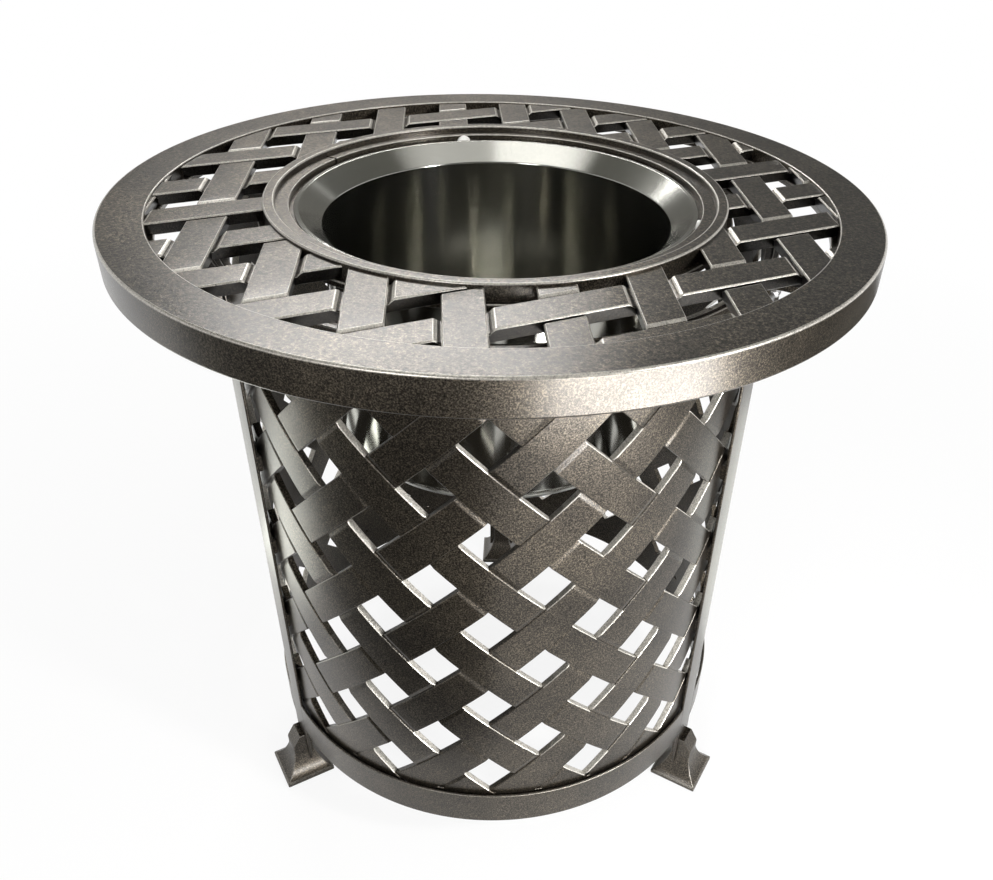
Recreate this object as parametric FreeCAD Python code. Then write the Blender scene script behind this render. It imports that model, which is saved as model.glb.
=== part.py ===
# Ice bucket side table: woven cast top and drum, strap frame on three feet, lift-out steel bucket.
# Millimetres, +Z up. The origin is on the floor, on the axis of the drum, and the front faces -Y.
# Azimuth is measured about +Z from the front towards +X.
import FreeCAD, Part
import math
import os

# Overall sizes
TABLE_HEIGHT = 583.0          # floor to the face of the rim
TOP_RADIUS = 305.0            # outside of the rim
LEG_AZIMUTHS = {"left": -60.0, "right": 60.0, "back": 180.0}
JOIN_GAP = 0.2                # room left between curved faces that are welded
SLIDE_GAP = 0.3               # room left round a piece that is pushed into a slot or a hole

# Rim of the top
RIM_WIDTH = 34.5
RIM_PLATE = 8.0
APRON_DEPTH = 28.0
APRON_WALL = 7.0
RIM_WEB = 7.5                 # inner wall of the rim, beside the grille
LEDGE_WIDTH = 5.0             # ledges of the rim and the collar that carry the grille
LEDGE_THICKNESS = 5.0
RIM_ROUND = 2.0

# Woven grille of the top
GRILLE_DROP = 1.5             # its face lies below the face of the rim
GRILLE_THICKNESS = 10.0
GRILLE_EDGE = 1.5             # thin rings that tie the bar ends
BAR_WIDTH = 28.5
BAR_PITCH = 62.0
CROSS_BARS = {"angle": 24.5, "offset": 24.2}
LONG_BARS = {"angle": 94.7, "offset": 29.0}
BAR_DIP = 3.0                 # how deep a bar dives before it goes under another
BAR_RAMP = 5.0                # length of that slope

# Collar round the well, and the split ring in it
COLLAR_RADIUS = 185.6
COLLAR_LIP = 9.3
COLLAR_RISE = 1.2             # the lip stands above the face of the rim
COLLAR_SHOULDER = 7.3
COLLAR_GROOVE = 4.2           # depth of the groove that holds the split ring
COLLAR_ROUND = 1.5
RECESS_DEPTH = 5.0            # from the lip down to the ledge that a lid would rest on
RING_THICKNESS = 4.0
RING_LEDGE = 10.6
RING_SEAT_DROP = 5.2          # from the ledge down to the seat of the bucket
RING_SEAT_WIDTH = 6.0
RING_SEAT_THICKNESS = 3.0
RING_SPLIT = 2.0
RING_SPLIT_AZIMUTH = -119.0
BUMPER_RADIUS = 6.5
BUMPER_HEIGHT = 4.8
BUMPER_DEPTH = 2.4
BUMPER_AZIMUTH = -167.0

# Bucket
BUCKET_PLAY = 3.0             # between the edge of the bucket and the wall of its seat
BUCKET_SHEET = 1.2
BUCKET_LIP = 3.7
BUCKET_FUNNEL_RUN = 17.0      # how far the funnel narrows, on each side
BUCKET_FUNNEL_DROP = 15.0
BUCKET_DEPTH = 207.0          # from the lip to the underside
BUCKET_CORNER = 14.0

# Strap frame: straps, hoops and brackets lie on one slightly tapered surface
FRAME_STANDOFF = 3.5          # from the outside of the drum to the outside of the frame, at the floor
FRAME_TAPER = 4.7             # how much wider the frame is at the top
FRAME_THICKNESS = 2.5
STRAP_WIDTH = 30.0
STRAP_FOOT_HEIGHT = 20.0      # lower end of a strap, inside its foot
STRAP_HEADROOM = 4.5          # from the ledge of the rim down to the upper end of a strap
BAND_BOTTOM = 65.5
BAND_HEIGHT = 36.5
HOOP_HEIGHT = 20.0
HOOP_HEADROOM = 6.5           # from the ledge of the rim down to the upper hoop

# Woven drum: diamond gaps in rows, half a column apart from row to row
WEAVE_RADIUS = 224.0
WEAVE_THICKNESS = 6.0
WEAVE_HEADROOM = 8.5          # from the ledge of the rim down to the panels
WEAVE_BOTTOM = 68.0
WEAVE_RAIL = 11.0             # plain rail along the upper edge of a panel
STRIP_WIDTH = 31.5
COLUMN_ARC = 45.0             # half a column, along the drum
ROW_STEP = 44.3
ROW_ZERO = 304.3              # height of a gap's middle on the front line
STRIP_DIP = 1.0
STRIP_RAMP = 5.0
SEAM_ANGLE = 0.05             # each side of the seam between two panels

# Tabs that hold the panels off the frame
TAB_WIDTH = 9.0
TAB_HEIGHT = 14.0
TAB_SIDE = 8.0                # from the middle of a strap to the middle of a tab
BAND_TAB_SPACING = 30.0       # degrees

# Brackets that carry the top, with their screws and bolts
BRACKET_THICKNESS = 5.0
BRACKET_DROP = 30.0
ARM_BOLT_INSET = 18.0         # from the outside of the rim to the bolt
ARM_END = 10.0                # from the bolt to the end of the arm
BOSS_RADIUS = 10.0
BOLT_RADIUS = 3.0
BOLT_LENGTH = 13.0
BOLT_HEAD_WIDTH = 10.0        # across flats
BOLT_HEAD_HEIGHT = 4.0
WASHER_RADIUS = 6.0
WASHER_THICKNESS = 1.6
SCREW_RADIUS = 2.5
SCREW_SPACING = 16.0
SCREW_HEAD_RADIUS = 4.75
SCREW_HEAD_HEIGHT = 2.7

# Feet
FOOT_OUTSET = 3.5             # from the outside of the frame to the middle of a foot
FOOT_WIDTH = 48.8
FOOT_EDGE = 3.5
FOOT_NECK = 20.0
FOOT_FLARE_TOP = 30.0
FOOT_HEIGHT = 52.0
FOOT_FLANK_TURN = 60.0        # degrees round the hollow flank to the middle point of its arc
FOOT_CHAMFER_WIDTH = 8.0
FOOT_CHAMFER_HEIGHT = 13.0
GLIDE_RADIUS = 15.0
GLIDE_THICKNESS = 4.0
GLIDE_SHOWING = 1.0
GLIDE_STEM_RADIUS = 4.0
GLIDE_STEM = 8.0

# Levels and radii that follow from the sizes above
GRILLE_TOP = TABLE_HEIGHT - GRILLE_DROP
GRILLE_BOTTOM = GRILLE_TOP - GRILLE_THICKNESS
LEDGE_BOTTOM = GRILLE_BOTTOM - LEDGE_THICKNESS
APRON_BOTTOM = TABLE_HEIGHT - APRON_DEPTH
RIM_INNER = TOP_RADIUS - RIM_WIDTH
COLLAR_TOP = TABLE_HEIGHT + COLLAR_RISE
COLLAR_INNER = COLLAR_RADIUS - COLLAR_LIP
GROOVE_RADIUS = COLLAR_INNER + COLLAR_GROOVE
RING_TOP = COLLAR_TOP - RECESS_DEPTH
RING_INNER = COLLAR_INNER - RING_LEDGE
SEAT_TOP = RING_TOP - RING_SEAT_DROP
SEAT_INNER = RING_INNER - RING_SEAT_WIDTH
BUCKET_RADIUS = RING_INNER - BUCKET_PLAY
BUCKET_MOUTH_RADIUS = BUCKET_RADIUS - BUCKET_LIP - BUCKET_FUNNEL_RUN
FRAME_RADIUS_FLOOR = WEAVE_RADIUS + FRAME_STANDOFF
FRAME_RADIUS_TOP = FRAME_RADIUS_FLOOR + FRAME_TAPER
FOOT_RADIUS = FRAME_RADIUS_FLOOR + FOOT_OUTSET
STRAP_TOP = LEDGE_BOTTOM - STRAP_HEADROOM
BAND_TOP = BAND_BOTTOM + BAND_HEIGHT
HOOP_TOP = LEDGE_BOTTOM - HOOP_HEADROOM
HOOP_BOTTOM = HOOP_TOP - HOOP_HEIGHT
SCREW_HEIGHT = HOOP_BOTTOM + HOOP_HEIGHT / 2
WEAVE_TOP = LEDGE_BOTTOM - WEAVE_HEADROOM
WEAVE_INNER = WEAVE_RADIUS - WEAVE_THICKNESS
COLUMN_STEP = math.degrees(COLUMN_ARC / WEAVE_RADIUS)
ARM_TOP = LEDGE_BOTTOM
ARM_BOTTOM = ARM_TOP - BRACKET_THICKNESS
BOLT_RADIUS_FROM_AXIS = TOP_RADIUS - ARM_BOLT_INSET
FAR = 2 * TOP_RADIUS          # longer than any piece, for cutting tools

AXIS = FreeCAD.Vector(0, 0, 1)
CENTRE = FreeCAD.Vector(0, 0, 0)


def vector(x, y, z):
    return FreeCAD.Vector(x, y, z)


def turned(shape, azimuth):
    """A copy of a shape made at the front, turned to its azimuth."""
    copy = shape.copy()
    copy.rotate(CENTRE, AXIS, azimuth)
    return copy


def right_way_out(solid):
    """The solid with its faces pointing outwards."""
    if solid.Volume < 0:
        solid.reverse()
    return solid


def prism(points, direction):
    """A solid with a flat polygon as its end."""
    face = Part.Face(Part.makePolygon(points + points[:1]))
    return right_way_out(face.extrude(direction))


def sector(profile, middle=0.0, sweep=360.0):
    """A solid of revolution from (radius, height) points, centred on an azimuth."""
    points = [vector(0, -radius, height) for radius, height in profile]
    face = Part.Face(Part.makePolygon(points + points[:1]))
    solid = right_way_out(face.revolve(CENTRE, AXIS, sweep))
    return turned(solid, middle - sweep / 2)


def block(x_half, y_near, y_far, bottom, top):
    """A box at the front, from one distance to another out from the axis."""
    corner = vector(-x_half, -y_far, bottom)
    return Part.makeBox(2 * x_half, y_far - y_near, top - bottom, corner)


def upright(radius, bottom, height, distance=0.0, side=0.0):
    """A vertical cylinder at the front, at a distance from the axis."""
    return Part.makeCylinder(radius, height, vector(side, -distance, bottom), AXIS)


def radial(radius, height, near, far, side=0.0):
    """A level cylinder that points out to the front."""
    return Part.makeCylinder(radius, far - near, vector(side, -near, height), vector(0, -1, 0))


def rounded_circles(solid, radius, circles):
    """Rounds the circular edges that lie at the given (radius, height) places."""
    edges = []
    for edge in solid.Edges:
        if not isinstance(edge.Curve, Part.Circle):
            continue
        for ring_radius, height in circles:
            same_radius = abs(edge.Curve.Radius - ring_radius) < 0.01
            same_height = abs(edge.Curve.Center.z - height) < 0.01
            if same_radius and same_height:
                edges.append(edge)
    return solid.makeFillet(radius, edges)


def frame_radius(height):
    """Outside of the tapered strap frame at a height."""
    share = height / TABLE_HEIGHT
    return FRAME_RADIUS_FLOOR + (FRAME_RADIUS_TOP - FRAME_RADIUS_FLOOR) * share


def frame_inner(height):
    return frame_radius(height) - FRAME_THICKNESS


def frame_profile(bottom, top):
    """Section through the sheet of the strap frame between two heights."""
    return [
        (frame_inner(bottom), bottom),
        (frame_radius(bottom), bottom),
        (frame_radius(top), top),
        (frame_inner(top), top),
    ]


def top_rim():
    web_outer = RIM_INNER + RIM_WEB
    plate_bottom = TABLE_HEIGHT - RIM_PLATE
    ledge_inner = RIM_INNER - LEDGE_WIDTH
    solid = sector([
        (TOP_RADIUS, TABLE_HEIGHT),
        (RIM_INNER, TABLE_HEIGHT),
        (RIM_INNER, GRILLE_BOTTOM),
        (ledge_inner, GRILLE_BOTTOM),
        (ledge_inner, LEDGE_BOTTOM),
        (web_outer, LEDGE_BOTTOM),
        (web_outer, plate_bottom),
        (TOP_RADIUS - APRON_WALL, plate_bottom),
        (TOP_RADIUS - APRON_WALL, APRON_BOTTOM),
        (TOP_RADIUS, APRON_BOTTOM),
    ])
    solid = rounded_circles(solid, RIM_ROUND, [(TOP_RADIUS, TABLE_HEIGHT)])
    solid = rounded_circles(solid, RIM_ROUND / 2, [(RIM_INNER, TABLE_HEIGHT), (TOP_RADIUS, APRON_BOTTOM)])
    bosses = []
    holes = []
    boss_height = plate_bottom + RIM_PLATE / 2 - LEDGE_BOTTOM
    hole_depth = BOLT_LENGTH - BRACKET_THICKNESS
    for azimuth in LEG_AZIMUTHS.values():
        boss = upright(BOSS_RADIUS, LEDGE_BOTTOM, boss_height, BOLT_RADIUS_FROM_AXIS)
        hole = upright(BOLT_RADIUS + JOIN_GAP, LEDGE_BOTTOM, hole_depth, BOLT_RADIUS_FROM_AXIS)
        bosses.append(turned(boss, azimuth))
        holes.append(turned(hole, azimuth))
    return solid.fuse(bosses).cut(holes).removeSplitter()


def bar_normal(bars):
    """Unit vector across a family of bars."""
    angle = math.radians(bars["angle"])
    return vector(math.sin(angle), -math.cos(angle), 0)


def bar_direction(bars):
    angle = math.radians(bars["angle"])
    return vector(math.cos(angle), math.sin(angle), 0)


def lattice_point(across_cross, across_long):
    """The point at given distances from the axis across the two families of bars."""
    one = bar_normal(CROSS_BARS)
    two = bar_normal(LONG_BARS)
    span = one.x * two.y - one.y * two.x
    x = (across_cross * two.y - across_long * one.y) / span
    y = (one.x * across_long - two.x * across_cross) / span
    return vector(x, y, 0)


def lattice_cells(shift):
    """Lattice numbers and distances of bar crossings, or of gaps when shifted half a pitch."""
    reach = int(TOP_RADIUS / BAR_PITCH) + 2
    for cross in range(-reach, reach + 1):
        for long in range(-reach, reach + 1):
            across_cross = CROSS_BARS["offset"] + BAR_PITCH * (cross + shift)
            across_long = LONG_BARS["offset"] + BAR_PITCH * (long + shift)
            if lattice_point(across_cross, across_long).Length < TOP_RADIUS:
                yield cross, long, across_cross, across_long


def grille_gap(cross, long, across_cross, across_long):
    half = (BAR_PITCH - BAR_WIDTH) / 2
    corners = [
        lattice_point(across_cross - half, across_long - half),
        lattice_point(across_cross + half, across_long - half),
        lattice_point(across_cross + half, across_long + half),
        lattice_point(across_cross - half, across_long + half),
    ]
    base = AXIS * (GRILLE_BOTTOM - GRILLE_THICKNESS)
    return prism([corner + base for corner in corners], AXIS * (3 * GRILLE_THICKNESS))


def grille_ramps(cross, long, across_cross, across_long):
    """The two slopes by which one bar goes under the other at a crossing."""
    half = BAR_WIDTH / 2
    long_is_over = (cross + long) % 2 == 0
    over, under = (LONG_BARS, CROSS_BARS) if long_is_over else (CROSS_BARS, LONG_BARS)
    width = bar_direction(over) * (BAR_WIDTH / abs(math.sin(math.radians(over["angle"] - under["angle"]))))
    middle = lattice_point(across_cross, across_long) + AXIS * GRILLE_TOP
    ramps = []
    for side in (-1, 1):
        away = bar_direction(under) * side
        reach = half / abs(away.dot(bar_normal(over)))
        start = middle + away * reach - width * 0.5
        rise = AXIS * BAR_DIP
        ramps.append(prism([start - rise, start + away * BAR_RAMP, start + rise], width))
    return ramps


def top_grille():
    outer = RIM_INNER - JOIN_GAP
    inner = COLLAR_RADIUS + JOIN_GAP
    plate = sector([
        (inner, GRILLE_BOTTOM),
        (outer, GRILLE_BOTTOM),
        (outer, GRILLE_TOP),
        (inner, GRILLE_TOP),
    ])
    window = sector([
        (inner + GRILLE_EDGE, GRILLE_BOTTOM - GRILLE_THICKNESS),
        (outer - GRILLE_EDGE, GRILLE_BOTTOM - GRILLE_THICKNESS),
        (outer - GRILLE_EDGE, GRILLE_TOP + GRILLE_THICKNESS),
        (inner + GRILLE_EDGE, GRILLE_TOP + GRILLE_THICKNESS),
    ])
    gaps = []
    for cell in lattice_cells(0.5):
        gaps.append(grille_gap(*cell))
    ramps = []
    for cell in lattice_cells(0.0):
        ramps.extend(grille_ramps(*cell))
    tools = Part.makeCompound(gaps).common(window).Solids
    dips = Part.makeCompound(ramps).common(window).Solids
    return plate.cut(dips).cut(tools)


def top_collar():
    solid = sector([
        (COLLAR_RADIUS, COLLAR_TOP),
        (COLLAR_INNER, COLLAR_TOP),
        (COLLAR_INNER, RING_TOP),
        (GROOVE_RADIUS, RING_TOP),
        (GROOVE_RADIUS, RING_TOP - RING_THICKNESS),
        (COLLAR_INNER - COLLAR_SHOULDER, RING_TOP - RING_THICKNESS),
        (COLLAR_INNER - COLLAR_SHOULDER, LEDGE_BOTTOM),
        (COLLAR_RADIUS + LEDGE_WIDTH, LEDGE_BOTTOM),
        (COLLAR_RADIUS + LEDGE_WIDTH, GRILLE_BOTTOM),
        (COLLAR_RADIUS, GRILLE_BOTTOM),
    ])
    return rounded_circles(solid, COLLAR_ROUND, [(COLLAR_RADIUS, COLLAR_TOP), (COLLAR_INNER, COLLAR_TOP)])


def seat_ring():
    """Split ring sprung into the collar: the ledge for a lid and, below it, the seat of the bucket."""
    outer = GROOVE_RADIUS - JOIN_GAP
    wall_outer = COLLAR_INNER - COLLAR_SHOULDER - JOIN_GAP
    solid = sector([
        (outer, RING_TOP),
        (RING_INNER, RING_TOP),
        (RING_INNER, SEAT_TOP),
        (SEAT_INNER, SEAT_TOP),
        (SEAT_INNER, SEAT_TOP - RING_SEAT_THICKNESS),
        (wall_outer, SEAT_TOP - RING_SEAT_THICKNESS),
        (wall_outer, RING_TOP - RING_THICKNESS),
        (outer, RING_TOP - RING_THICKNESS),
    ])
    split = turned(block(RING_SPLIT / 2, 0, FAR, 0, COLLAR_TOP), RING_SPLIT_AZIMUTH)
    return solid.cut(split)


def collar_bumpers():
    """Half-round buttons that stand on the seat and keep the bucket off its wall."""
    wall = RING_INNER - JOIN_GAP
    shell = sector([
        (wall - BUMPER_DEPTH, SEAT_TOP),
        (wall, SEAT_TOP),
        (wall, SEAT_TOP + BUMPER_HEIGHT),
        (wall - BUMPER_DEPTH, SEAT_TOP + BUMPER_HEIGHT),
    ], 0, COLUMN_STEP)
    middle = SEAT_TOP + BUMPER_HEIGHT - BUMPER_RADIUS
    button = shell.common(radial(BUMPER_RADIUS, middle, 0, RING_INNER))
    count = len(LEG_AZIMUTHS)
    return [turned(button, BUMPER_AZIMUTH + 360.0 / count * number) for number in range(count)]


def ice_bucket():
    """Drawn sheet bucket: flat lip, funnel, straight wall and round-cornered bottom."""
    sheet = BUCKET_SHEET
    bottom = SEAT_TOP + sheet - BUCKET_DEPTH
    funnel_top = BUCKET_RADIUS - BUCKET_LIP
    slope = math.atan2(BUCKET_FUNNEL_DROP, BUCKET_FUNNEL_RUN)
    shift = sheet * math.tan(slope / 2)
    turn = sheet * math.tan((math.pi / 2 - slope) / 2)
    lip_top = SEAT_TOP + sheet
    mouth = lip_top - BUCKET_FUNNEL_DROP
    outer_wall = BUCKET_MOUTH_RADIUS + sheet
    solid = sector([
        (0, bottom),
        (outer_wall, bottom),
        (outer_wall, mouth - turn),
        (funnel_top + shift, SEAT_TOP),
        (BUCKET_RADIUS, SEAT_TOP),
        (BUCKET_RADIUS, lip_top),
        (funnel_top, lip_top),
        (BUCKET_MOUTH_RADIUS, mouth),
        (BUCKET_MOUTH_RADIUS, bottom + sheet),
        (0, bottom + sheet),
    ])
    solid = rounded_circles(solid, BUCKET_CORNER, [(outer_wall, bottom)])
    return rounded_circles(solid, BUCKET_CORNER - sheet, [(BUCKET_MOUTH_RADIUS, bottom + sheet)])


def screw_holes(near, far, clearance):
    """The two level holes at a strap's upper end."""
    holes = []
    for side in (-SCREW_SPACING / 2, SCREW_SPACING / 2):
        holes.append(radial(SCREW_RADIUS + clearance, SCREW_HEIGHT, near, far, side))
    return holes


def strap():
    sheet = sector(frame_profile(STRAP_FOOT_HEIGHT, STRAP_TOP), 0, COLUMN_STEP)
    strip = sheet.common(block(STRAP_WIDTH / 2, 0, FAR, 0, TABLE_HEIGHT))
    return strip.cut(screw_holes(0, FAR, SLIDE_GAP))


def base_band():
    """The lower hoop, in the three lengths that lie between the straps."""
    hoop = sector(frame_profile(BAND_BOTTOM, BAND_TOP))
    straps = []
    for azimuth in LEG_AZIMUTHS.values():
        straps.append(turned(block(STRAP_WIDTH / 2, 0, FAR, 0, TABLE_HEIGHT), azimuth))
    pieces = {}
    for solid in hoop.cut(straps).Solids:
        middle = solid.CenterOfMass
        if abs(middle.x) < STRAP_WIDTH:
            pieces["band_front"] = solid
        elif middle.x > 0:
            pieces["band_right"] = solid
        else:
            pieces["band_left"] = solid
    return pieces


def upper_hoop():
    inner = WEAVE_RADIUS + JOIN_GAP
    solid = sector([
        (inner, HOOP_BOTTOM),
        (frame_inner(HOOP_BOTTOM) - JOIN_GAP, HOOP_BOTTOM),
        (frame_inner(HOOP_TOP) - JOIN_GAP, HOOP_TOP),
        (inner, HOOP_TOP),
    ])
    holes = []
    for azimuth in LEG_AZIMUTHS.values():
        for hole in screw_holes(0, FAR, JOIN_GAP):
            holes.append(turned(hole, azimuth))
    return solid.cut(holes)


def bracket():
    """Angle plate: its leg is screwed to a strap, its arm is bolted under the rim."""
    near = frame_radius(TABLE_HEIGHT) + JOIN_GAP
    far = near + BRACKET_THICKNESS
    end = BOLT_RADIUS_FROM_AXIS + ARM_END
    leg = block(STRAP_WIDTH / 2, near, far, ARM_TOP - BRACKET_DROP, ARM_TOP)
    arm = block(STRAP_WIDTH / 2, near, end, ARM_BOTTOM, ARM_TOP)
    bolt_hole = upright(BOLT_RADIUS + SLIDE_GAP, 0, TABLE_HEIGHT, BOLT_RADIUS_FROM_AXIS)
    return leg.fuse(arm).removeSplitter().cut(screw_holes(0, FAR, SLIDE_GAP) + [bolt_hole])


def hexagon(across_flats, bottom, height, distance):
    corner = across_flats / math.sqrt(3)
    points = []
    for number in range(6):
        angle = math.radians(60 * number)
        points.append(vector(corner * math.cos(angle), corner * math.sin(angle) - distance, bottom))
    return prism(points, AXIS * height)


def rim_bolt():
    head_top = ARM_BOTTOM - WASHER_THICKNESS
    head = hexagon(BOLT_HEAD_WIDTH, head_top - BOLT_HEAD_HEIGHT, BOLT_HEAD_HEIGHT, BOLT_RADIUS_FROM_AXIS)
    shank = upright(BOLT_RADIUS, head_top, BOLT_LENGTH, BOLT_RADIUS_FROM_AXIS)
    return head.fuse(shank)


def rim_washer():
    bottom = ARM_BOTTOM - WASHER_THICKNESS
    disc = upright(WASHER_RADIUS, bottom, WASHER_THICKNESS, BOLT_RADIUS_FROM_AXIS)
    return disc.cut(upright(BOLT_RADIUS + SLIDE_GAP, bottom, WASHER_THICKNESS, BOLT_RADIUS_FROM_AXIS))


def strap_screw(side):
    """Button head screw through the bracket and the strap into the upper hoop."""
    face = frame_radius(TABLE_HEIGHT) + JOIN_GAP + BRACKET_THICKNESS
    shank = radial(SCREW_RADIUS, SCREW_HEIGHT, WEAVE_RADIUS + WEAVE_THICKNESS / 2, face, side)
    middle = vector(side, -face, SCREW_HEIGHT)
    outward = vector(0, -1, 0)
    head = Part.makeCone(SCREW_HEAD_RADIUS, SCREW_HEAD_RADIUS / 2, SCREW_HEAD_HEIGHT, middle, outward)
    return shank.fuse(head)


def strip_shares():
    """Half width and half height of a diamond gap, for the strip width that is asked for."""
    half_column = math.radians(COLUMN_STEP) * WEAVE_RADIUS
    side = math.hypot(half_column, ROW_STEP)
    pitch = 2 * half_column * ROW_STEP / side
    share = 1 - STRIP_WIDTH / pitch
    return half_column, share


def weave_gap(column, row):
    half_column, share = strip_shares()
    height = ROW_ZERO + ROW_STEP * row
    half_width = half_column * share
    half_height = ROW_STEP * share
    distance = -(WEAVE_INNER - WEAVE_THICKNESS)
    corners = [
        vector(-half_width, distance, height),
        vector(0, distance, height - half_height),
        vector(half_width, distance, height),
        vector(0, distance, height + half_height),
    ]
    return turned(prism(corners, vector(0, -3 * WEAVE_THICKNESS, 0)), column * COLUMN_STEP)


def weave_ramps(column, row):
    """The two slopes by which one strip goes under the other at a crossing."""
    half_column, share = strip_shares()
    solid_share = 1 - share
    lean = 1 if row % 2 == 0 else -1
    over = vector(half_column * lean, 0, ROW_STEP)
    under = vector(-half_column * lean, 0, ROW_STEP)
    ramps = []
    for side in (-1, 1):
        away = under * (side / under.Length)
        shift = under * (side * solid_share / 2)
        edge = over * solid_share
        middle = vector(0, -WEAVE_RADIUS, ROW_ZERO + ROW_STEP * row + shift.z)
        start = middle - edge * 0.5
        outward = vector(0, -STRIP_DIP, 0)
        wedge = prism([start - outward, start + away * STRIP_RAMP, start + outward], edge)
        ramps.append(turned(wedge, column * COLUMN_STEP + math.degrees(shift.x / WEAVE_RADIUS)))
    return ramps


def weave_panel():
    """One third of the drum, between the middles of two straps; its lower rail is as high as the band."""
    sweep = 360.0 / len(LEG_AZIMUTHS) - 2 * SEAM_ANGLE
    sheet = sector([
        (WEAVE_INNER, WEAVE_BOTTOM),
        (WEAVE_RADIUS, WEAVE_BOTTOM),
        (WEAVE_RADIUS, WEAVE_TOP),
        (WEAVE_INNER, WEAVE_TOP),
    ], 0, sweep)
    window = upright(2 * WEAVE_RADIUS, BAND_TOP, WEAVE_TOP - WEAVE_RAIL - BAND_TOP)
    edge_column = int(sweep / 2 / COLUMN_STEP) + 1
    lowest_row = int((WEAVE_BOTTOM - ROW_ZERO) / ROW_STEP) - 1
    highest_row = int((WEAVE_TOP - ROW_ZERO) / ROW_STEP) + 1
    gaps = []
    ramps = []
    for row in range(lowest_row, highest_row + 1):
        for column in range(-edge_column, edge_column + 1):
            if (row + column) % 2 == 0:
                gaps.append(weave_gap(column, row))
            else:
                ramps.extend(weave_ramps(column, row))
    tools = Part.makeCompound(gaps).common(window).Solids
    dips = Part.makeCompound(ramps).common(window).Solids
    return sheet.cut(dips).cut(tools)


def tab_profile(bottom):
    """Section of a tab that fills the space between a panel and the frame."""
    top = bottom + TAB_HEIGHT
    near = WEAVE_RADIUS + JOIN_GAP
    return [
        (near, bottom),
        (frame_inner(bottom) - JOIN_GAP, bottom),
        (frame_inner(top) - JOIN_GAP, top),
        (near, top),
    ]


def strap_tabs():
    """Tabs at every crossing behind a strap, one for each of the two panels that meet there."""
    sweep = math.degrees(TAB_WIDTH / WEAVE_RADIUS)
    side = math.degrees(TAB_SIDE / WEAVE_RADIUS)
    edge_column = round(180.0 / len(LEG_AZIMUTHS) / COLUMN_STEP)
    lowest_row = int((BAND_TOP - ROW_ZERO) / ROW_STEP)
    highest_row = int((HOOP_BOTTOM - TAB_HEIGHT - ROW_ZERO) / ROW_STEP)
    tabs = []
    for row in range(lowest_row, highest_row + 1):
        if (row + edge_column) % 2 == 0:
            continue
        bottom = ROW_ZERO + ROW_STEP * row - TAB_HEIGHT / 2
        for azimuth in LEG_AZIMUTHS.values():
            tabs.append(sector(tab_profile(bottom), azimuth - side, sweep))
            tabs.append(sector(tab_profile(bottom), azimuth + side, sweep))
    return tabs


def band_tabs():
    """Tabs between the lower rails of the panels and the band, clear of the straps."""
    sweep = math.degrees(TAB_WIDTH / WEAVE_RADIUS)
    bottom = BAND_BOTTOM + BAND_HEIGHT / 2 - TAB_HEIGHT
    count = round(360.0 / BAND_TAB_SPACING)
    tabs = []
    for number in range(count):
        azimuth = number * 360.0 / count
        nearest = min(abs((azimuth - leg + 180.0) % 360.0 - 180.0) for leg in LEG_AZIMUTHS.values())
        if nearest > BAND_TAB_SPACING / 2:
            tabs.append(sector(tab_profile(bottom), azimuth, sweep))
    return tabs


def foot_profile(across):
    """Upright outline of a foot: a thin edge, hollow flanks and a neck."""
    wide = FOOT_WIDTH / 2
    neck = FOOT_NECK / 2
    edge_top = GLIDE_SHOWING + FOOT_EDGE
    rise = FOOT_FLARE_TOP - edge_top
    turn = math.radians(FOOT_FLANK_TURN)
    mid_out = neck + (wide - neck) * (1 - math.sin(turn))
    mid_up = edge_top + rise * (1 - math.cos(turn))

    def point(out, height):
        return across * out + AXIS * height

    edges = [
        Part.LineSegment(point(-wide, GLIDE_SHOWING), point(wide, GLIDE_SHOWING)).toShape(),
        Part.LineSegment(point(wide, GLIDE_SHOWING), point(wide, edge_top)).toShape(),
        Part.Arc(point(wide, edge_top), point(mid_out, mid_up), point(neck, FOOT_FLARE_TOP)).toShape(),
        Part.LineSegment(point(neck, FOOT_FLARE_TOP), point(neck, FOOT_HEIGHT)).toShape(),
        Part.LineSegment(point(neck, FOOT_HEIGHT), point(-neck, FOOT_HEIGHT)).toShape(),
        Part.LineSegment(point(-neck, FOOT_HEIGHT), point(-neck, FOOT_FLARE_TOP)).toShape(),
        Part.Arc(point(-neck, FOOT_FLARE_TOP), point(-mid_out, mid_up), point(-wide, edge_top)).toShape(),
        Part.LineSegment(point(-wide, edge_top), point(-wide, GLIDE_SHOWING)).toShape(),
    ]
    return Part.Face(Part.Wire(edges))


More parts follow.
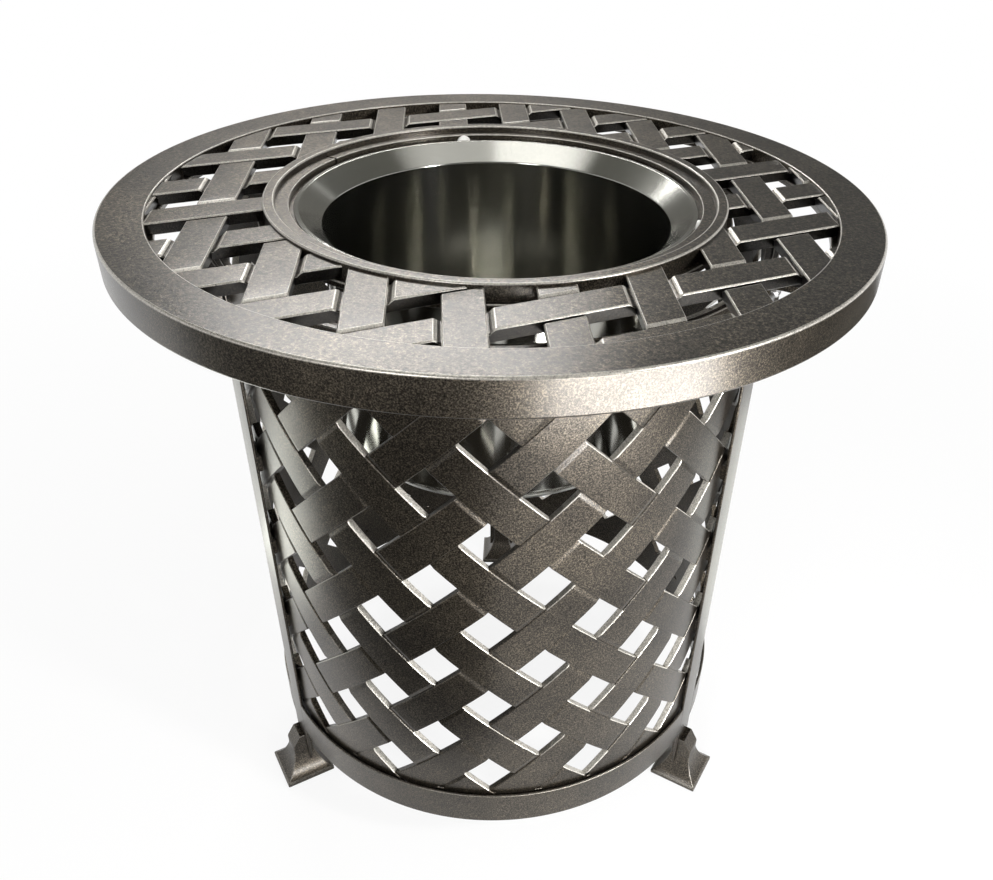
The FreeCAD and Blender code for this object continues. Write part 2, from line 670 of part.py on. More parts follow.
def foot():
    """Square foot with hollow flanks, slotted for the end of a strap."""
    along_x = foot_profile(vector(1, 0, 0))
    along_y = foot_profile(vector(0, 1, 0))
    one = along_x.extrude(vector(0, 2 * FOOT_WIDTH, 0))
    one.translate(vector(0, -FOOT_WIDTH, 0))
    two = along_y.extrude(vector(2 * FOOT_WIDTH, 0, 0))
    two.translate(vector(-FOOT_WIDTH, 0, 0))
    solid = right_way_out(one).common(right_way_out(two))
    solid.translate(vector(0, -FOOT_RADIUS, 0))
    outer = -(FOOT_RADIUS + FOOT_NECK / 2)
    chamfer = prism([
        vector(-FOOT_WIDTH, outer, FOOT_HEIGHT),
        vector(-FOOT_WIDTH, outer + FOOT_CHAMFER_WIDTH, FOOT_HEIGHT),
        vector(-FOOT_WIDTH, outer, FOOT_HEIGHT - FOOT_CHAMFER_HEIGHT),
    ], vector(2 * FOOT_WIDTH, 0, 0))
    half = STRAP_WIDTH / 2 + SLIDE_GAP
    sagitta = frame_inner(STRAP_FOOT_HEIGHT) - math.sqrt(frame_inner(STRAP_FOOT_HEIGHT) ** 2 - half ** 2)
    slot = block(
        half,
        frame_inner(STRAP_FOOT_HEIGHT) - sagitta - SLIDE_GAP,
        frame_radius(FOOT_HEIGHT) + SLIDE_GAP,
        STRAP_FOOT_HEIGHT,
        FOOT_HEIGHT,
    )
    pocket_top = GLIDE_THICKNESS
    pocket = upright(GLIDE_RADIUS + SLIDE_GAP, 0, pocket_top, FOOT_RADIUS)
    stem_hole = upright(GLIDE_STEM_RADIUS + JOIN_GAP, 0, pocket_top + GLIDE_STEM, FOOT_RADIUS)
    return solid.cut([chamfer, slot, pocket, stem_hole])


def foot_glide():
    disc = upright(GLIDE_RADIUS, 0, GLIDE_THICKNESS, FOOT_RADIUS)
    stem = upright(GLIDE_STEM_RADIUS, GLIDE_THICKNESS, GLIDE_STEM, FOOT_RADIUS)
    return disc.fuse(stem).removeSplitter()


def at_legs(solids):
    """Copies of the given solids at every leg."""
    copies = []
    for azimuth in LEG_AZIMUTHS.values():
        for solid in solids:
            copies.append(turned(solid, azimuth))
    return copies


def all_parts():
    parts = {
        "top_rim": [top_rim()],
        "top_grille": [top_grille()],
        "top_collar": [top_collar()],
        "seat_ring": [seat_ring()],
        "collar_bumpers": collar_bumpers(),
        "ice_bucket": [ice_bucket()],
        "upper_hoop": [upper_hoop()],
        "strap_tabs": strap_tabs(),
        "band_tabs": band_tabs(),
        "rim_bolts": at_legs([rim_bolt()]),
        "rim_washers": at_legs([rim_washer()]),
        "strap_screws": at_legs([strap_screw(-SCREW_SPACING / 2), strap_screw(SCREW_SPACING / 2)]),
    }
    for name, solid in base_band().items():
        parts[name] = [solid]
    one_strap = strap()
    one_bracket = bracket()
    one_foot = foot()
    one_glide = foot_glide()
    for leg, azimuth in LEG_AZIMUTHS.items():
        parts["strap_" + leg] = [turned(one_strap, azimuth)]
        parts["bracket_" + leg] = [turned(one_bracket, azimuth)]
        parts["foot_" + leg] = [turned(one_foot, azimuth)]
        parts["glide_" + leg] = [turned(one_glide, azimuth)]
    panel = weave_panel()
    step = 360.0 / len(LEG_AZIMUTHS)
    for number, name in enumerate(("weave_front", "weave_right", "weave_left")):
        parts[name] = [turned(panel, step * number)]
    return parts


def write_parts():
    os.makedirs("parts", exist_ok=True)
    for name, shapes in all_parts().items():
        solids = [solid for shape in shapes for solid in shape.Solids]
        shape = solids[0] if len(solids) == 1 else Part.makeCompound(solids)
        shape.exportStep("parts/" + name + ".step")
        print(name, len(solids), round(shape.Volume / 1000.0, 2), "cm3", shape.isValid())


write_parts()
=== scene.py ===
# Ice bucket side table, dressed: woven strips with rounded edges, turned rings, coated and polished metal.
# Sizes are in millimetres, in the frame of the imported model, and meshes are written in metres.
# Azimuth is measured about +Z from the front (-Y) towards +X.
import bpy
import bmesh
import math
from mathutils import Matrix, Vector

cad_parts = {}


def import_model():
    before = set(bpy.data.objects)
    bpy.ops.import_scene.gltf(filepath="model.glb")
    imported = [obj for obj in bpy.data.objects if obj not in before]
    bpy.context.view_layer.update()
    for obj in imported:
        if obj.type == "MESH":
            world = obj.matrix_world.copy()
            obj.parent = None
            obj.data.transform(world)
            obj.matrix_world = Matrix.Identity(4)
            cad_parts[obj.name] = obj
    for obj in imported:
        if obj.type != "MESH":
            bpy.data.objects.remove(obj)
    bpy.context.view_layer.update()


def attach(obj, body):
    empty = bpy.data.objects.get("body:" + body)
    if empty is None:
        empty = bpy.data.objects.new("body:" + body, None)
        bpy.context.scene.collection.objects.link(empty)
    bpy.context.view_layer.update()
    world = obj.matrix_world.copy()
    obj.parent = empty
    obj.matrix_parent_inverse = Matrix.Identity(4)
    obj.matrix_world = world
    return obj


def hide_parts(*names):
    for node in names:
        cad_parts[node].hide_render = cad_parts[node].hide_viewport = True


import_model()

MM = 0.001

# Overall sizes
TABLE_HEIGHT = 583.0
TOP_RADIUS = 305.0
LEG_AZIMUTHS = {"left": -60.0, "right": 60.0, "back": 180.0}
ROUND_STEPS = 4  # flat steps in a rounded edge
BEVEL_STEPS = 2  # the same at the edges of a bevel
TURNS = 240  # flat steps round a full ring
BUTTON_TURNS = 32  # the same round a small one
SHARP_ANGLE = 50.0  # folds of more degrees stay sharp
NEAR_AXIS = 0.01  # radius where the outline of a solid of revolution starts
WELD = 0.00001  # metres within which points are joined
CUT_TOLERANCE = 0.000001  # metres from a cut within which points lie on it

# Top
RIM_WIDTH = 34.5
RIM_PLATE = 8.0
APRON_DEPTH = 28.0
APRON_WALL = 7.0
RIM_WEB = 7.5
LEDGE_WIDTH = 5.0
LEDGE_THICKNESS = 5.0
RIM_ROUND = 2.0
GRILLE_DROP = 1.5
GRILLE_THICKNESS = 10.0
BAR_WIDTH = 28.5
BAR_PITCH = 62.0
CROSS_BARS = {"angle": 24.5, "offset": 24.2}
LONG_BARS = {"angle": 94.7, "offset": 29.0}
BAR_DIP = 3.0
BAR_RAMP = 5.0
BAR_BEVEL = 1.1
BAR_DRAFT = 1.5  # how far the walls of a bar lean in from its face to its back
BAR_BURIED = 3.0  # how far the ends of the bars reach into the rim and the collar
BAR_FACETS = 2  # flat steps across a bar

# Collar, split ring, bumpers and bucket
COLLAR_RADIUS = 185.6
COLLAR_LIP = 9.3
COLLAR_RISE = 1.2
COLLAR_SHOULDER = 7.3
COLLAR_GROOVE = 4.2
COLLAR_ROUND = 1.5
COLLAR_FOOT_ROUND = 1.0
COLLAR_FILLET = 0.5
RECESS_DEPTH = 5.0
RING_THICKNESS = 4.0
RING_LEDGE = 10.6
RING_SEAT_DROP = 5.2
RING_SEAT_WIDTH = 6.0
RING_SEAT_THICKNESS = 3.0
RING_SPLIT = 2.0
RING_SPLIT_AZIMUTH = -119.0
RING_ROUND = 0.8
BUMPER_RADIUS = 6.5
BUMPER_HEIGHT = 4.8
BUMPER_DEPTH = 2.4
BUMPER_AZIMUTH = -167.0
BUMPER_FACE = [(0.0, 0.6), (0.18, 0.2), (0.6, 0.0)]  # its rounded edge: (inset, depth below the face)
BUMPER_STEPS = 24
BUMPER_BASE_STEPS = 8
BUCKET_PLAY = 3.0
BUCKET_SHEET = 1.2
BUCKET_LIP = 3.7
BUCKET_FUNNEL_RUN = 17.0
BUCKET_FUNNEL_DROP = 15.0
BUCKET_DEPTH = 207.0
BUCKET_CORNER = 14.0
BUCKET_MOUTH_ROUND = 2.2
BUCKET_LIP_ROUND = 2.0
BUCKET_FUNNEL_ROUND = 1.0
BUCKET_EDGE_ROUND = 0.48
BUCKET_STEPS = 6  # flat steps in its rounded edges

# Drum and frame
WEAVE_RADIUS = 224.0
WEAVE_THICKNESS = 6.0
WEAVE_HEADROOM = 8.5
WEAVE_BOTTOM = 68.0
WEAVE_RAIL = 11.0
RAIL_ROUND = 1.0
STRIP_WIDTH = 31.5
STRIP_DIP = 1.0
STRIP_RAMP = 5.0
STRIP_BEVEL = 0.6
STRIP_FACETS = 4  # flat steps across a strip
RAMP_STEPS = 4  # flat steps where a strip goes down
PLACE_DIGITS = 5  # places along a strip that agree to so many digits are one
UNDER_SHORT = 0.1  # how much thinner one family of strips or bars is
COLUMN_ARC = 45.0
ROW_STEP = 44.3
ROW_ZERO = 304.3
SEAM_ANGLE = 0.05
FRAME_STANDOFF = 3.5
FRAME_TAPER = 4.7
FRAME_THICKNESS = 2.5
FRAME_ROUND = 0.9
STRAP_WIDTH = 30.0
STRAP_FOOT_HEIGHT = 20.0
STRAP_HEADROOM = 4.5
STRAP_FACETS = 6
STRAP_STATIONS = 8
STRAP_END = 1.0
BAND_BOTTOM = 65.5
BAND_HEIGHT = 36.5
HOOP_HEIGHT = 20.0
HOOP_HEADROOM = 6.5
HOOP_ROUND = 1.0
JOIN_GAP = 0.2

# Tabs, brackets and fasteners
TAB_WIDTH = 9.0
TAB_HEIGHT = 14.0
TAB_SIDE = 8.0
TAB_ROUND = 1.0
BAND_TAB_SPACING = 30.0
BRACKET_THICKNESS = 5.0
BRACKET_DROP = 30.0
BRACKET_HEEL = 1.5
BRACKET_FILLET = 2.0
BRACKET_ROUND = 0.8
BRACKET_BEVEL = 0.5
ARM_BOLT_INSET = 18.0
ARM_END = 10.0
BOSS_RADIUS = 10.0
BOSS_OVERLAP = 1.0
BOLT_RADIUS = 3.0
BOLT_HEAD_WIDTH = 10.0
BOLT_HEAD_HEIGHT = 4.0
BOLT_LENGTH = 13.0
BOLT_CHAMFER = 0.7
BOLT_OVERLAP = 0.2
BOLT_END_ROUND = 0.5
WASHER_RADIUS = 6.0
WASHER_THICKNESS = 1.6
WASHER_PLAY = 0.3
WASHER_ROUND = 0.3
SCREW_SPACING = 16.0
SCREW_RADIUS = 2.5
SCREW_HEAD_RADIUS = 4.75
SCREW_HEAD_HEIGHT = 2.7
SCREW_SOCKET_RADIUS = 1.7
SCREW_SOCKET_DEPTH = 1.4
SCREW_DOME = (0, 15, 30, 45, 58, 68)  # degrees up its dome
FASTENER_TURNS = 24

# Feet
FOOT_OUTSET = 3.5
FOOT_WIDTH = 48.8
FOOT_EDGE = 3.5
FOOT_NECK = 20.0
FOOT_FLARE_TOP = 30.0
FOOT_HEIGHT = 52.0
FOOT_CHAMFER_WIDTH = 8.0
FOOT_CHAMFER_HEIGHT = 13.0
FOOT_ROUND = 1.2
FOOT_BEVEL = 0.6
FOOT_BORDER = 0.4
FOOT_STEPS = 10  # flat steps up a hollow flank
FOOT_HOLLOW = 0.5  # how far a flank leaves its chord for a full quarter arc
GLIDE_RADIUS = 15.0
GLIDE_THICKNESS = 4.0
GLIDE_SHOWING = 1.0
GLIDE_ROUNDS = (0.8, 0.3)  # at its foot and at its top
GLIDE_TURNS = 48

# Wear of the coat, partly painted highlights, and painted shade
WORN_EDGE = 2.5  # width of the faces of an edge that wears
WORN_FOLD = 16.0  # degrees that the faces round it turn away
EDGE_SHARE = 0.6  # how far the coat on an edge wears, partly as a painted highlight
FRAME_SHARE = 0.25  # the same on the frame, as a share of that
CROSSING_SHARE = 0.08  # the same where one strip lies on another
PAINTED_HIGHLIGHT_FROM = {"left": 5.0, "right": -42.0}  # painted highlight: where in a panel the gap walls start to be bright, by the way they look
PAINTED_HIGHLIGHT_FADE = 20.0  # degrees over which that painted highlight comes in
UPRIGHT = 0.35  # how far the normal of an upright wall may rise or fall
PAINTED_WALL_SHADE = 0.15  # painted shade: the coat's colour on upright walls, as a share of its colour elsewhere

# Looks
MOTTLE_SCALE = 11.0
GRAIN_SCALE = 850.0
SPECKLE = [(0.36, (0.28, 0.27, 0.26)), (0.5, (0.85, 0.85, 0.85)), (0.65, (2.7, 2.6, 2.5))]
SETTLED_SCALE = 340.0
SETTLED_SLOPE = (0.7, 0.98)  # rise of the normal over which the settled grain comes in
SETTLED = [(0.36, (0.25, 0.25, 0.25)), (0.64, (1.7, 1.7, 1.7))]
PIT_SCALE = 95.0
WORN_PATCHES = [(0.3, (0.35, 0.35, 0.35)), (0.6, (1.0, 1.0, 1.0))]
STEEL_CLOUD_SCALE = 24.0
STEEL_SLOPE = (0.2, 0.5)  # rise of the normal over which steel turns rougher
STEEL_ROUGHER = (1.5, 1.5, 1.5, 1.0)
NYLON_CLOUD_SCALE = 160.0
NYLON_GRAIN_SCALE = 1500.0

# Studio, in metres
FLOOR_HALF = 4.0
FLOOR_COLOUR = (0.86, 0.86, 0.85, 1.0)
FLOOR_GLOW = 0.88  # share of the floor's white that is its own light
FLOOR_SHADE = (0.5, 1.6)  # distances between which that grows to all of it, to the camera
FLOOR_DARK = (0.2, 0.36)  # distances between which it starts, in reflections
WORLD_LIGHT = 0.3
WHITE = (1.0, 1.0, 1.0, 1.0)
CREAM = (0.97, 1.0, 0.9)

# Camera, fitted to the photograph
CAMERA_AZIMUTH = 1.553  # degrees round from the front
CAMERA_DISTANCE = 749.558  # from the axis
CAMERA_HEIGHT = 256.661  # above the face of the rim
CAMERA_PITCH = 34.861
CAMERA_YAW = 3.247
CAMERA_ROLL = 2.043
CAMERA_FOCAL = 937.367  # in pixels
CAMERA_CENTRE = (540.776, 458.350)
IMAGE_SIZE = (993, 880)
SENSOR_WIDTH = 36.0

# Levels and radii that follow from the sizes above
GRILLE_TOP = TABLE_HEIGHT - GRILLE_DROP
GRILLE_BOTTOM = GRILLE_TOP - GRILLE_THICKNESS
LEDGE_BOTTOM = GRILLE_BOTTOM - LEDGE_THICKNESS
APRON_BOTTOM = TABLE_HEIGHT - APRON_DEPTH
RIM_INNER = TOP_RADIUS - RIM_WIDTH
COLLAR_TOP = TABLE_HEIGHT + COLLAR_RISE
COLLAR_INNER = COLLAR_RADIUS - COLLAR_LIP
GROOVE_RADIUS = COLLAR_INNER + COLLAR_GROOVE
RING_TOP = COLLAR_TOP - RECESS_DEPTH
RING_BOTTOM = RING_TOP - RING_THICKNESS
RING_INNER = COLLAR_INNER - RING_LEDGE
SEAT_TOP = RING_TOP - RING_SEAT_DROP
SEAT_INNER = RING_INNER - RING_SEAT_WIDTH
BUCKET_RADIUS = RING_INNER - BUCKET_PLAY
BUCKET_MOUTH_RADIUS = BUCKET_RADIUS - BUCKET_LIP - BUCKET_FUNNEL_RUN
STRAP_TOP = LEDGE_BOTTOM - STRAP_HEADROOM
BAND_TOP = BAND_BOTTOM + BAND_HEIGHT
HOOP_TOP = LEDGE_BOTTOM - HOOP_HEADROOM
HOOP_BOTTOM = HOOP_TOP - HOOP_HEIGHT
SCREW_HEIGHT = HOOP_BOTTOM + HOOP_HEIGHT / 2
WEAVE_TOP = LEDGE_BOTTOM - WEAVE_HEADROOM
COLUMN_STEP = math.degrees(COLUMN_ARC / WEAVE_RADIUS)
FRAME_RADIUS_FLOOR = WEAVE_RADIUS + FRAME_STANDOFF
FOOT_RADIUS = FRAME_RADIUS_FLOOR + FOOT_OUTSET
BOLT_RADIUS_FROM_AXIS = TOP_RADIUS - ARM_BOLT_INSET
LEG_STEP = 360.0 / len(LEG_AZIMUTHS)
SIDE_AZIMUTHS = {"front": 0.0, "right": LEG_STEP, "left": 2 * LEG_STEP}
EDGE_COLUMN = round(LEG_STEP / 2 / COLUMN_STEP)
GRILLE_REACH = math.ceil(TOP_RADIUS / BAR_PITCH) + 1


# Mesh building

class Shape:
    """Vertices in millimetres and faces, gathered into one mesh."""

    def __init__(self):
        self.points = []
        self.faces = []

    def add(self, points, faces, azimuth=0.0, shift=(0, 0, 0)):
        """Adds a mesh that is moved first and then turned about the axis."""
        start = len(self.points)
        shift = Vector(shift)
        turn = Matrix.Rotation(math.radians(azimuth), 3, "Z")
        self.points.extend(turn @ (Vector(point) + shift) for point in points)
        self.faces.extend([start + index for index in face] for face in faces)
        return self


def rounded(corners, radii, steps=ROUND_STEPS):
    """A closed flat outline with its corners rounded; one radius for all, or one for each corner."""
    if not isinstance(radii, (list, tuple)):
        radii = [radii] * len(corners)
    outline = []
    for number, corner in enumerate(corners):
        corner = Vector(corner)
        radius = radii[number]
        if radius == 0:
            outline.append(corner)
            continue
        before = (Vector(corners[number - 1]) - corner).normalized()
        after = (Vector(corners[(number + 1) % len(corners)]) - corner).normalized()
        half = before.angle(after) / 2
        middle = corner + (before + after).normalized() * (radius / math.sin(half))
        start = corner + before * (radius / math.tan(half)) - middle
        end = corner + after * (radius / math.tan(half)) - middle
        for step in range(steps + 1):
            share = step / steps
            outline.append(middle + (start * (1 - share) + end * share).normalized() * radius)
    return outline


def bevelled(corners, sizes, radius):
    """A closed flat outline with flat bevels at its corners, and a small radius where they start and end."""
    outline = []
    radii = []
    for number, corner in enumerate(corners):
        corner = Vector(corner)
        if sizes[number] == 0:
            outline.append(corner)
            radii.append(0)
            continue
        for neighbour in (corners[number - 1], corners[(number + 1) % len(corners)]):
            outline.append(corner + (Vector(neighbour) - corner).normalized() * sizes[number])
            radii.append(radius)
    return rounded(outline, radii, BEVEL_STEPS)


def around(radius, height, azimuth):
    angle = math.radians(azimuth)
    return Vector((radius * math.sin(angle), -radius * math.cos(angle), height))


def loft(sections, closed=False):
    """A skin over loops that have the same number of points, with caps if it isn't closed."""
    count = len(sections[0])
    points = [point for section in sections for point in section]
    faces = []
    last = len(sections) if closed else len(sections) - 1
    for number in range(last):
        here = number * count
        there = (number + 1) % len(sections) * count
        for index in range(count):
            beside = (index + 1) % count
            faces.append([here + index, here + beside, there + beside, there + index])
    if not closed:
        faces.append(list(range(count))[::-1])
        faces.append([len(points) - count + index for index in range(count)])
    return points, faces


def skin(stations, outline, place):
    """A skin over one flat outline, whose points a function puts in place at each station."""
    return loft([[place(station, *point) for point in outline] for station in stations])


def box(inner, outer, bottom, top):
    """Corners of a section with level and upright sides."""
    return [(inner, bottom), (outer, bottom), (outer, top), (inner, top)]


def lathe(outline, middle=0.0, sweep=360.0, turns=TURNS):
    """A ring, or part of one, from a closed outline of (radius, height) points."""
    steps = max(2, round(turns * sweep / 360.0))
    full = sweep >= 360.0
    count = steps if full else steps + 1
    azimuths = [middle - sweep / 2 + sweep * number / steps for number in range(count)]
    return loft([[around(*point, azimuth) for point in outline] for azimuth in azimuths], full)


def button(outline, turns=BUTTON_TURNS):
    """A small solid of revolution about the vertical line through the origin."""
    return lathe(outline, 180.0, turns=turns)


def finished(mesh, wear):
    """Cleans a mesh, turns its faces outwards, smooths all but sharp folds and notes each face's wear."""
    work = bmesh.new()
    work.from_mesh(mesh)
    bmesh.ops.remove_doubles(work, verts=work.verts, dist=WELD)
    bmesh.ops.dissolve_degenerate(work, edges=work.edges, dist=WELD)
    between = [vertex for vertex in work.verts if len(vertex.link_edges) == 2]
    bmesh.ops.dissolve_verts(work, verts=between)
    bmesh.ops.recalc_face_normals(work, faces=work.faces)
    worn_and_painted_light = [wear(face) for face in work.faces]
    work.to_mesh(mesh)
    work.free()
    mesh.shade_smooth()
    mesh.set_sharp_from_angle(angle=math.radians(SHARP_ANGLE))
    mesh.attributes.new("edge_wear_and_painted_light", "FLOAT", "FACE").data.foreach_set("value", worn_and_painted_light)


def edge_wear_and_painted_light(face, widest=WORN_EDGE):
    """How much the coat wears on a face: narrow faces of outer edges that look upwards, partly real wear and
    partly a painted highlight where light from above falls.
    """
    width = face.calc_area() / max(edge.calc_length() for edge in face.edges)
    fold = sum(edge.calc_face_angle_signed(0.0) for edge in face.edges)
    if width > widest * MM or fold < math.radians(WORN_FOLD):
        return 0.0
    return EDGE_SHARE * min(1.0, max(0.0, 2 * face.normal.z))


def frame_wear_and_painted_highlight(face):
    return FRAME_SHARE * edge_wear_and_painted_light(face)


def grille_wear_and_painted_light(face):
    """The same on the grille, with -1 for its upright walls, which get a painted shade."""
    if abs(face.normal.z) < UPRIGHT:
        return -1.0
    return edge_wear_and_painted_light(face)


def weave_wear_and_painted_highlight(face):
    """The same on the drum, where the walls of the gaps are bare and the edges of the crossings are not; how
    bare a wall is depends on its place in the panel and the way it looks, a painted highlight.
    """
    share = edge_wear_and_painted_light(face, WEAVE_THICKNESS) / EDGE_SHARE
    centre = face.calc_center_median() / MM
    if centre.z < BAND_TOP + STRIP_BEVEL:
        return 0.0
    azimuth = math.degrees(math.atan2(centre.x, -centre.y))
    turn = math.radians(azimuth)
    looks = "right" if face.normal.x * math.cos(turn) + face.normal.y * math.sin(turn) > 0 else "left"
    in_panel = (azimuth + LEG_STEP / 2) % LEG_STEP - LEG_STEP / 2
    # painted highlight: walls are bare only from a place in the panel that depends on the way they look
    share *= eased((in_panel - PAINTED_HIGHLIGHT_FROM[looks]) / PAINTED_HIGHLIGHT_FADE)
    column = in_panel / COLUMN_STEP
    row = (centre.z - ROW_ZERO) / ROW_STEP
    strip_spacing = COLUMN_ARC * ROW_STEP / math.hypot(COLUMN_ARC, ROW_STEP)
    gap_edge = strip_spacing - STRIP_WIDTH / 2 + 2 * STRIP_BEVEL
    for place in (column - row, column + row):
        from_gap = abs((place + 1) % 2 - 1) * strip_spacing
        if from_gap > gap_edge:
            return CROSSING_SHARE * share
    return share


def placed(name, data):
    """A new object in the scene."""
    made = bpy.data.objects.new(name, data)
    bpy.context.scene.collection.objects.link(made)
    return made


def raw_mesh(name, shape):
    mesh = bpy.data.meshes.new(name)
    mesh.from_pydata([point * MM for point in shape.points], [], shape.faces)
    return mesh


def piece(name, shape, material, body, nodes, wear=edge_wear_and_painted_light):
    """A finished object that stands for CAD nodes and moves with their body."""
    mesh = raw_mesh(name, shape)
    finished(mesh, wear)
    mesh.materials.append(material)
    made = placed(name, mesh)
    weighted = made.modifiers.new("even_normals", "WEIGHTED_NORMAL")
    weighted.keep_sharp = True
    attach(made, body)
    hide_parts(*nodes)


def coated(name, shape, node, wear=edge_wear_and_painted_light):
    piece(name, shape, COAT, "table", [node], wear)


def copies(prefix, stem, azimuths, points, faces, wear=edge_wear_and_painted_light):
    """Coated pieces of one form at several azimuths, one for each CAD node."""
    for suffix, azimuth in azimuths.items():
        node = stem + suffix
        coated(prefix + node, Shape().add(points, faces, azimuth), node, wear)


def bare_mesh(shape):
    """A mesh with its faces turned outwards, to be cut."""
    mesh = raw_mesh("bare", shape)
    work = bmesh.new()
    work.from_mesh(mesh)
    bmesh.ops.recalc_face_normals(work, faces=work.faces)
    work.to_mesh(mesh)
    work.free()
    return mesh


def mesh_parts(mesh):
    points = [vertex.co / MM for vertex in mesh.vertices]
    faces = [list(face.vertices) for face in mesh.polygons]
    return points, faces


def kept_inside(shape, limits):
    """The part of a shape that lies inside another."""
    one = placed("kept", bare_mesh(shape))
    two = placed("limits", bare_mesh(limits))
    change = one.modifiers.new("boolean", "BOOLEAN")
    change.operation = "INTERSECT"
    change.solver = "EXACT"
    change.object = two
    bpy.context.view_layer.update()
    result = bpy.data.meshes.new_from_object(one.evaluated_get(bpy.context.evaluated_depsgraph_get()))
    bpy.data.objects.remove(one)
    bpy.data.objects.remove(two)
    return mesh_parts(result)


def cut(shape, planes):
    """The shape without what lies outside planes, as (point in metres, outward) pairs, with closed cuts."""
    mesh = bare_mesh(shape)
    work = bmesh.new()
    work.from_mesh(mesh)
    for point, outward in planes:
        everything = work.verts[:] + work.edges[:] + work.faces[:]
        bmesh.ops.bisect_plane(
            work, geom=everything, dist=CUT_TOLERANCE, plane_co=point, plane_no=outward, clear_outer=True
        )
        open_edges = [edge for edge in work.edges if edge.is_boundary]
        bmesh.ops.holes_fill(work, edges=open_edges, sides=0)
    work.to_mesh(mesh)
    work.free()
    return mesh_parts(mesh)


# Materials

def set_inputs(node, values):
    """Sets inputs of a shader node, or links them where the value is an output of another node."""
    for name, value in values.items():
        if isinstance(value, bpy.types.NodeSocket):
            node.id_data.links.new(value, node.inputs[name])
        else:
            node.inputs[name].default_value = value


def new_node(tree, kind, values=None):
    made = tree.nodes.new("ShaderNode" + kind)
    set_inputs(made, values or {})
    return made


def empty_tree(owner):
    owner.use_nodes = True
    owner.node_tree.nodes.clear()
    return owner.node_tree


def new_material(name):
    material = bpy.data.materials.new(name)
    tree = empty_tree(material)
    shader = new_node(tree, "BsdfPrincipled")
    new_node(tree, "OutputMaterial", {"Surface": shader.outputs["BSDF"]})
    return material, tree, shader


def object_place(tree, scale=(1, 1, 1)):
    """Object coordinates, stretched."""
    place = new_node(tree, "TexCoord").outputs["Object"]
    return new_node(tree, "Mapping", {"Vector": place, "Scale": scale}).outputs["Vector"]


def noise(tree, place, scale, detail=2.0, roughness=0.5):
    values = {"Vector": place, "Scale": scale, "Detail": detail, "Roughness": roughness}
    return new_node(tree, "TexNoise", values).outputs["Fac"]


def ramp(tree, value, stops):
    """A colour ramp from (position, colour) stops."""
    made = new_node(tree, "ValToRGB", {"Fac": value})
    elements = made.color_ramp.elements
    while len(elements) < len(stops):
        elements.new(0.5)
    for element, (position, colour) in zip(elements, stops):
        element.position = position
        element.color = (*colour, 1.0)
    return made.outputs["Color"]


def spread(tree, value, low, high, new_low, new_high):
    values = {"Value": value, "From Min": low, "From Max": high, "To Min": new_low, "To Max": new_high}
    return new_node(tree, "MapRange", values).outputs["Result"]


def mixed(tree, blend, share, one, two):
    made = new_node(tree, "Mix")
    made.data_type = "RGBA"
    made.blend_type = blend
    set_inputs(made, {0: share, 6: one, 7: two})
    return made.outputs[2]


def bump(tree, shader, height, strength, distance, under=None):
    made = new_node(tree, "Bump", {"Height": height, "Strength": strength, "Distance": distance})
    if under is not None:
        set_inputs(made, {"Normal": under})
    set_inputs(shader, {"Normal": made.outputs["Normal"]})
    return made.outputs["Normal"]


def looking_up(tree, low, high):
    """0 on upright walls and 1 on faces that look up, as the object stands."""
    normal = new_node(tree, "TexCoord").outputs["Normal"]
    split = new_node(tree, "SeparateXYZ", {"Vector": normal})
    return spread(tree, split.outputs["Z"], low, high, 0.0, 1.0)


def coat_material(name, dark, light, worn_and_painted_light, roughness):
    """Powder coat: mottled bronze, a fine grain, a coarser one where it looks up, edges that wear bare and
    partly carry a painted highlight, and painted shade on upright grille walls.
    """
    material, tree, shader = new_material(name)
    place = object_place(tree)
    patches = noise(tree, place, MOTTLE_SCALE, detail=5.0, roughness=0.6)
    grain = noise(tree, place, GRAIN_SCALE, detail=3.0, roughness=0.75)
    settled = noise(tree, place, SETTLED_SCALE, detail=3.0, roughness=0.7)
    upward = looking_up(tree, *SETTLED_SLOPE)
    edges = new_node(tree, "Attribute")
    edges.attribute_name = "edge_wear_and_painted_light"
    wear = edges.outputs["Fac"]
    rubbed_and_painted_highlight = mixed(tree, "MULTIPLY", 1.0, wear, ramp(tree, grain, WORN_PATCHES))
    colour = ramp(tree, patches, [(0.35, dark), (0.68, light)])
    colour = mixed(tree, "MULTIPLY", 1.0, colour, ramp(tree, grain, SPECKLE))
    colour = mixed(tree, "MULTIPLY", upward, colour, ramp(tree, settled, SETTLED))
    # painted shade: faces marked -1, the grille's upright walls, get a darker coat colour
    colour = mixed(tree, "MULTIPLY", 1.0, colour, spread(tree, wear, -1.0, 0.0, PAINTED_WALL_SHADE, 1.0))
    # pale bare colour on edges and gap walls, partly real wear and partly a painted highlight
    colour = mixed(tree, "MIX", rubbed_and_painted_highlight, colour, (*worn_and_painted_light, 1.0))
    pits = bump(tree, shader, noise(tree, place, PIT_SCALE, detail=3.0), strength=0.08, distance=0.0005)
    coarse = mixed(tree, "MULTIPLY", 1.0, settled, upward)
    peel = bump(tree, shader, coarse, strength=0.3, distance=0.0003, under=pits)
    grained = bump(tree, shader, grain, strength=0.45, distance=0.0002, under=peel)
    set_inputs(shader, {
        "Base Color": colour,
        "Metallic": spread(tree, rubbed_and_painted_highlight, 0.0, 1.0, 0.9, 0.4),
        "Roughness": spread(tree, grain, 0.3, 0.7, roughness - 0.07, roughness + 0.09),
        "Coat Weight": 0.45,
        "Coat Roughness": 0.16,
        "Coat IOR": 1.5,
        "Coat Normal": grained,
    })
    return material


